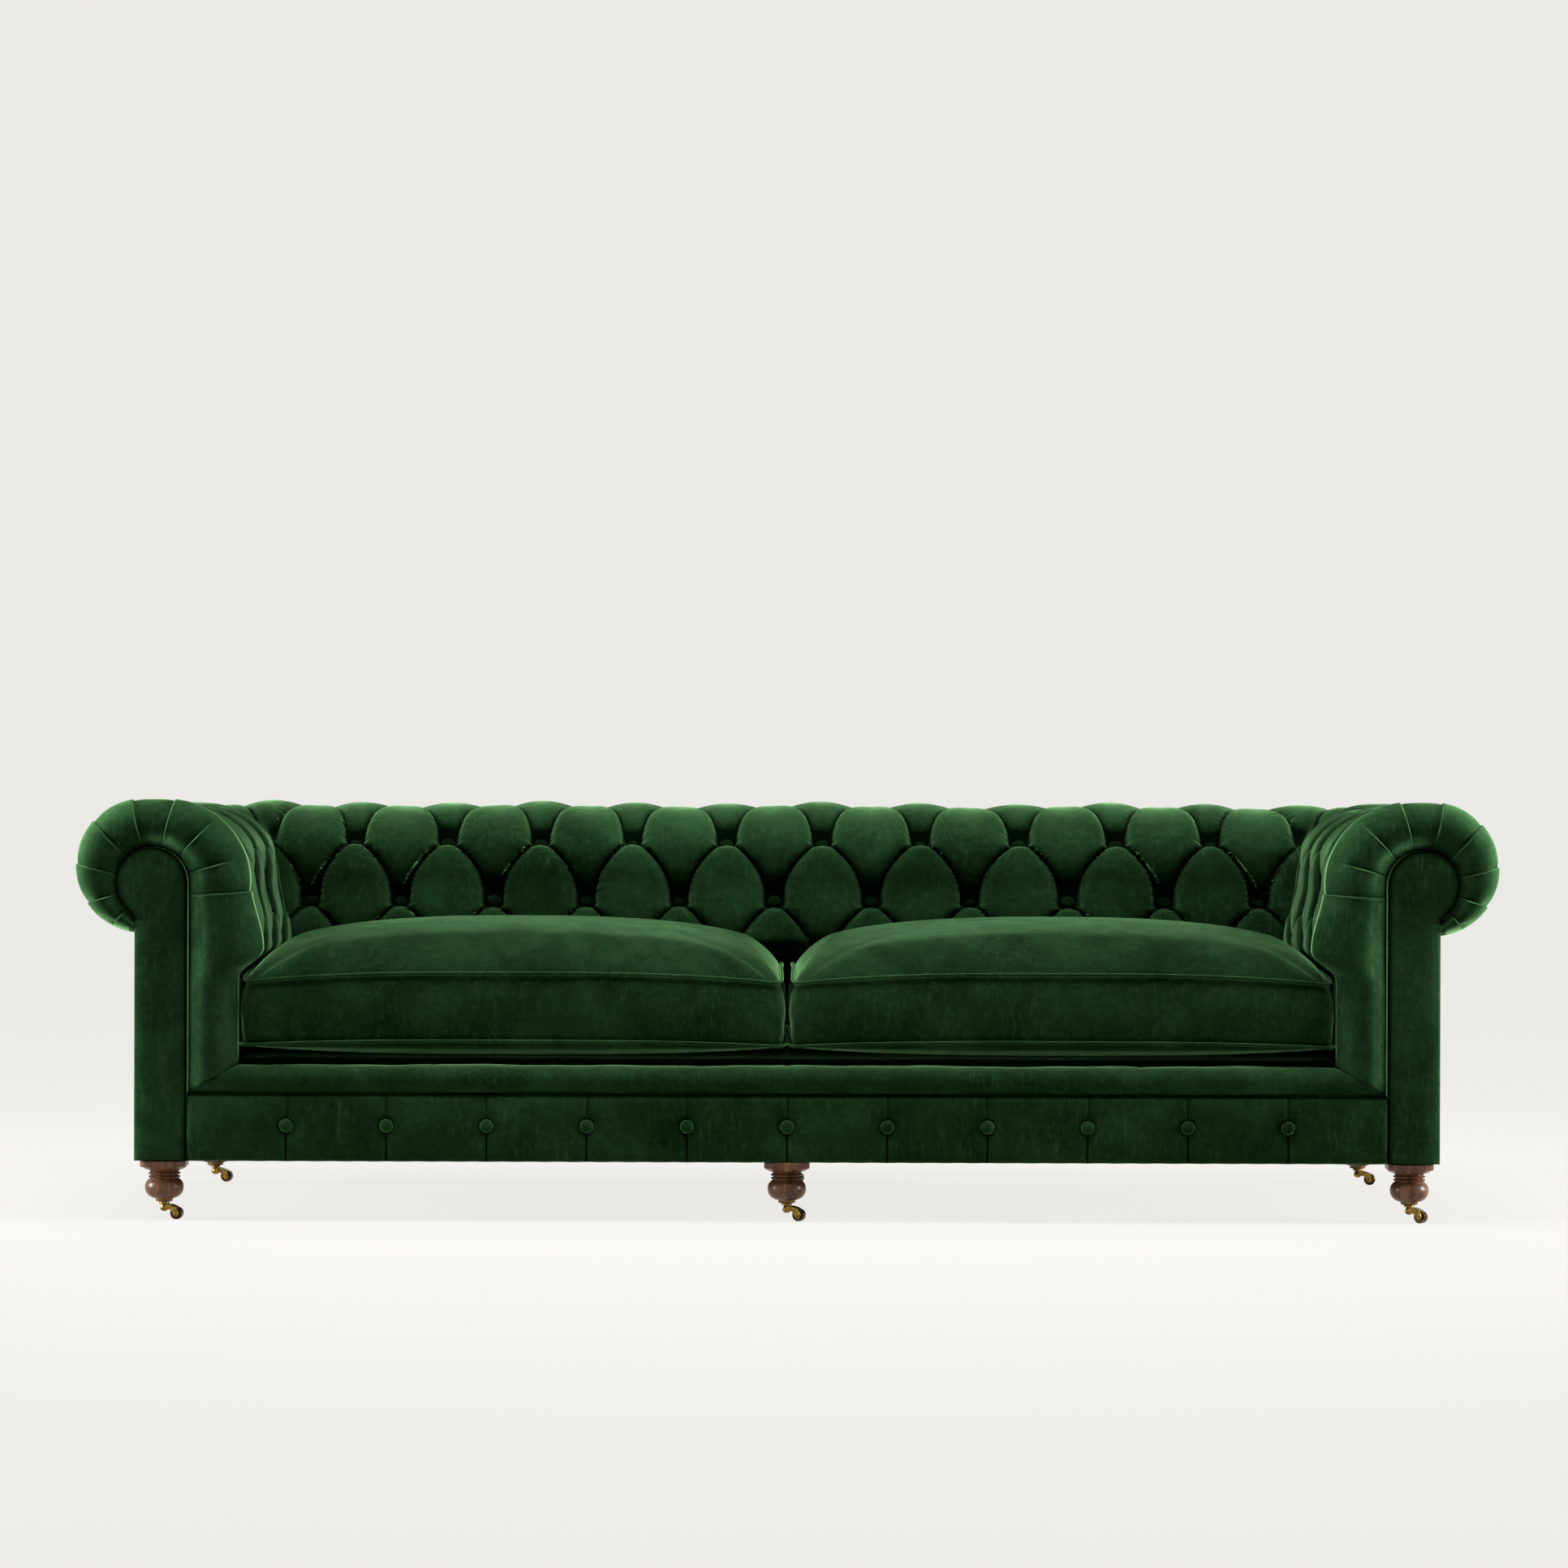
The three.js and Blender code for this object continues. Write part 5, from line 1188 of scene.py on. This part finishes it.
def turned_leg(place):
    node = f"leg_{place}"
    low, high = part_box(node)
    middle = np.array([(low[0] + high[0]) / 2, (low[1] + high[1]) / 2, low[2]])
    block_low = LEG_HEIGHT * LEG_BLOCK_LOW
    rings = [
        block_ring(LEG_BEVEL, LEG_HEIGHT - MM / 4), block_ring(0, LEG_HEIGHT - LEG_BEVEL),
        block_ring(0, block_low + LEG_BEVEL), block_ring(LEG_BEVEL / 3, block_low + LEG_BEVEL / 3),
        block_ring(LEG_BEVEL, block_low),
    ]
    rings += [turned_ring(radius, share * LEG_HEIGHT) for radius, share in LEG_TURNING]
    verts, faces = solid_of_rings(rings)
    leg = new_object(f"turned_leg_{place}", verts + middle, faces, WALNUT, replaces=(node,))
    edge_split(leg)


def edge_split(obj, angle=50):
    """Keeps edges sharper than the angle crisp under smooth shading."""
    obj.data.set_sharp_from_angle(angle=math.radians(angle))


for place in PLACES:
    turned_leg(place)


# Casters. Each is drawn with its upright at the origin and its wheel trailing to +X, then turned to its place.
AXLE_UP = 0.011
TRAIL = 0.023
WHEEL_RADIUS = 0.011
CHEEK_IN, CHEEK_OUT = 0.0068, 0.0094
COLLAR = (
    (0.0030, 0.0268), (0.0068, 0.0270), (0.0092, 0.0278), (0.0094, 0.0300), (0.0088, 0.0312), (0.0118, 0.0316),
    (0.0124, 0.0326), (0.0122, 0.0342), (0.0116, 0.0348), (0.0150, 0.0352), (0.0157, 0.0360), (0.0156, 0.0374),
    (0.0148, 0.0380), (0.0140, 0.0381),
)
HUB = (
    (0.0008, 0.0138), (0.0030, 0.0141), (0.0052, 0.0152), (0.0068, 0.0171), (0.0074, 0.0195), (0.0070, 0.0222),
    (0.0060, 0.0244), (0.0052, 0.0258), (0.0048, 0.0268),
)
TREAD = ((0.0080, -0.0058), (0.0099, -0.0064), (0.0108, -0.0056), (0.0110, -0.0030), (0.0110, 0.0030), (0.0108, 0.0056),
         (0.0099, 0.0064), (0.0080, 0.0058))
DISC = ((0.0024, -0.0052), (0.0036, -0.0066), (0.0052, -0.0066), (0.0060, -0.0052), (0.0080, -0.0050), (0.0083, 0.0),
        (0.0080, 0.0050), (0.0060, 0.0052), (0.0052, 0.0066), (0.0036, 0.0066), (0.0024, 0.0052))


def lathed(profile, sides=40):
    """Rings of a turned shape about Z, from (radius, height) points."""
    angles = 2 * math.pi * np.arange(sides) / sides
    return [
        np.column_stack([radius * np.cos(angles), radius * np.sin(angles), np.full(sides, height)])
        for radius, height in profile
    ]


def lying_at_axle(rings):
    """Turns rings about Z so that they lie about the wheel's axle."""
    return [np.column_stack([TRAIL + ring[:, 0], ring[:, 2], AXLE_UP + ring[:, 1]]) for ring in rings]


def horn_outline():
    """Side of the horn as (trail, up): over the top to the axle, round its end and back under."""
    over = bezier((0.0035, 0.0262), (0.0140, 0.0275), (0.0275, 0.0240), (TRAIL + 0.0056, AXLE_UP), 16)
    end = arc((TRAIL, AXLE_UP), 0.0056, 0, -180, 13)[1:]
    under = bezier((TRAIL - 0.0056, AXLE_UP), (0.0166, 0.0162), (0.0120, 0.0186), (0.0040, 0.0176), 12)[1:]
    return np.concatenate([over, end, under])


def cheek(side):
    """One cheek of the horn's fork, with a rounded rim."""
    outline = horn_outline()
    middle = outline.mean(axis=0)
    ring = lambda share, out: np.column_stack([
        (middle + (outline - middle) * share)[:, 0], np.full(len(outline), side * out),
        (middle + (outline - middle) * share)[:, 1],
    ])
    return [ring(0.95, CHEEK_IN), ring(1.0, CHEEK_IN + 0.0004), ring(1.0, CHEEK_OUT - 0.0006), ring(0.95, CHEEK_OUT)]


def horn_bridge():
    """The web over the wheel that joins both cheeks at the top."""
    top = bezier((0.0030, 0.0256), (0.0140, 0.0268), (0.0262, 0.0240), (TRAIL + 0.0036, 0.0178), 14)
    under = [
        (x, min(z - 0.0012, AXLE_UP + math.sqrt(max(0.0121**2 - (x - TRAIL) ** 2, 0))) if x > 0.0116 else 0.0185)
        for x, z in top
    ]
    rings = []
    for (x, z), (_, low) in zip(top, under):
        wide = CHEEK_IN + 0.0006
        rings.append(np.array([(x, -wide, low), (x, -wide, z), (x, wide, z), (x, wide, low)]))
    return rings


def placed(verts, place):
    """Vertices drawn about the caster's upright, turned and moved to their place on the sofa."""
    leg_low, leg_high = map(np.array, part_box(f"leg_{place}"))
    wheel_low, wheel_high = map(np.array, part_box(f"caster_wheel_{place}"))
    middle = (leg_low + leg_high) / 2
    way = ((wheel_low + wheel_high) / 2 - middle)[:2]
    way = way / np.linalg.norm(way)
    turned = verts[:, :1] * way + verts[:, 1:2] * np.array([-way[1], way[0]])
    return np.column_stack([turned + middle[:2], verts[:, 2]])


def brass_piece(name, parts, place, body, material, replaces=()):
    """One brass piece made of several closed solids, given as lists of rings."""
    verts, faces = [], []
    for rings in parts:
        points, quads = solid_of_rings(rings)
        start = sum(len(v) for v in verts)
        verts.append(points)
        faces += [tuple(start + i for i in face) for face in quads]
    obj = new_object(
        name, placed(np.concatenate(verts), place), faces, material, body=body, replaces=replaces,
    )
    edge_split(obj, 42)
    return obj


def caster(place):
    swivel, wheel = f"swivel_{place}", f"wheel_{place}"
    brass_piece(f"caster_collar_{place}", [lathed(COLLAR)], place, "sofa", BRASS, (f"caster_cup_{place}",))
    horn = [lathed(HUB), cheek(-1), cheek(1), horn_bridge()]
    brass_piece(f"caster_fork_{place}", horn, place, swivel, BRASS, (f"caster_horn_{place}",))
    pin = [(0.0006, -0.0109), (0.0016, -0.0107), (0.0024, -0.0098), (0.0024, 0.0098), (0.0016, 0.0107), (0.0006, 0.0109)]
    brass_piece(f"caster_pin_{place}", [lying_at_axle(lathed(pin, 20))], place, swivel, BRASS, (f"caster_axle_{place}",))
    brass_piece(f"caster_disc_{place}", [lying_at_axle(lathed(DISC))], place, wheel, BRASS, (f"caster_wheel_{place}",))
    tyre = lying_at_axle(lathed(TREAD, 48))
    brass_piece(f"caster_tread_{place}", [tyre], place, wheel, DARK_BRASS)


for place in PLACES:
    caster(place)


# Black cloth stretched under the frame, cut away round the legs, with small puckers at its tacks
CLOTH_CELL = 0.012
CLOTH_GAP = 0.0012


def dust_cloth():
    (x0, y0, z0), (x1, y1, z1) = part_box("dust_cover")
    legs = [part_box(f"leg_{place}") for place in PLACES]
    lines = []
    for axis, (start, end) in enumerate(((x0, x1), (y0, y1))):
        edges = {start, end}
        for low, high in legs:
            edges |= {v for v in (low[axis] - CLOTH_GAP, high[axis] + CLOTH_GAP) if start < v < end}
        edges = sorted(edges)
        stops = [np.linspace(a, b, max(1, round((b - a) / CLOTH_CELL)), endpoint=False) for a, b in zip(edges, edges[1:])]
        lines.append(np.append(np.concatenate(stops), end))
    xs, ys = lines
    grid_x, grid_y = np.meshgrid(xs, ys, indexing="ij")
    rim = np.minimum(np.minimum(grid_x - x0, x1 - grid_x), np.minimum(grid_y - y0, y1 - grid_y))
    pucker = 0.5 + 0.5 * np.cos(2 * math.pi * (grid_x + grid_y) / 0.05)
    sag = 0.0011 * smooth(rim / 0.15)
    z = z1 - 0.0002 - 0.0005 * pucker * np.exp(-rim / 0.02) - sag
    verts = np.column_stack([grid_x.ravel(), grid_y.ravel(), z.ravel()])
    faces = np.array(grid_faces(len(xs), len(ys)))
    middle = verts[faces].mean(axis=1)
    kept = np.ones(len(faces), bool)
    for low, high in legs:
        inside = [(middle[:, k] > low[k] - CLOTH_GAP) & (middle[:, k] < high[k] + CLOTH_GAP) for k in (0, 1)]
        kept &= ~(inside[0] & inside[1])
    faces = faces[kept]
    used, faces = np.unique(faces, return_inverse=True)
    faces = faces.reshape(-1, 4)
    cloth = new_object("dust_cloth", verts[used], faces, CAMBRIC, replaces=("dust_cover",))


dust_cloth()


# The frame under the upholstery keeps its CAD solids
HIDDEN_FRAME = {
    GROOVE_SHADE_TIMBER: ("arm_front_board",),
    TIMBER: ("arm_top_rail", "back_post", "back_top_rail", "back_centre_post", "base_back_rail",
             "base_front_rail", "base_side_rail", "base_cross_rail"),
    STEEL: ("seat_springs",),
}
for finish, names in HIDDEN_FRAME.items():
    for node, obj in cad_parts.items():
        if node.startswith(names) and obj.material_slots and obj.material_slots[0].material not in (VELVET,):
            obj.material_slots[0].material = finish
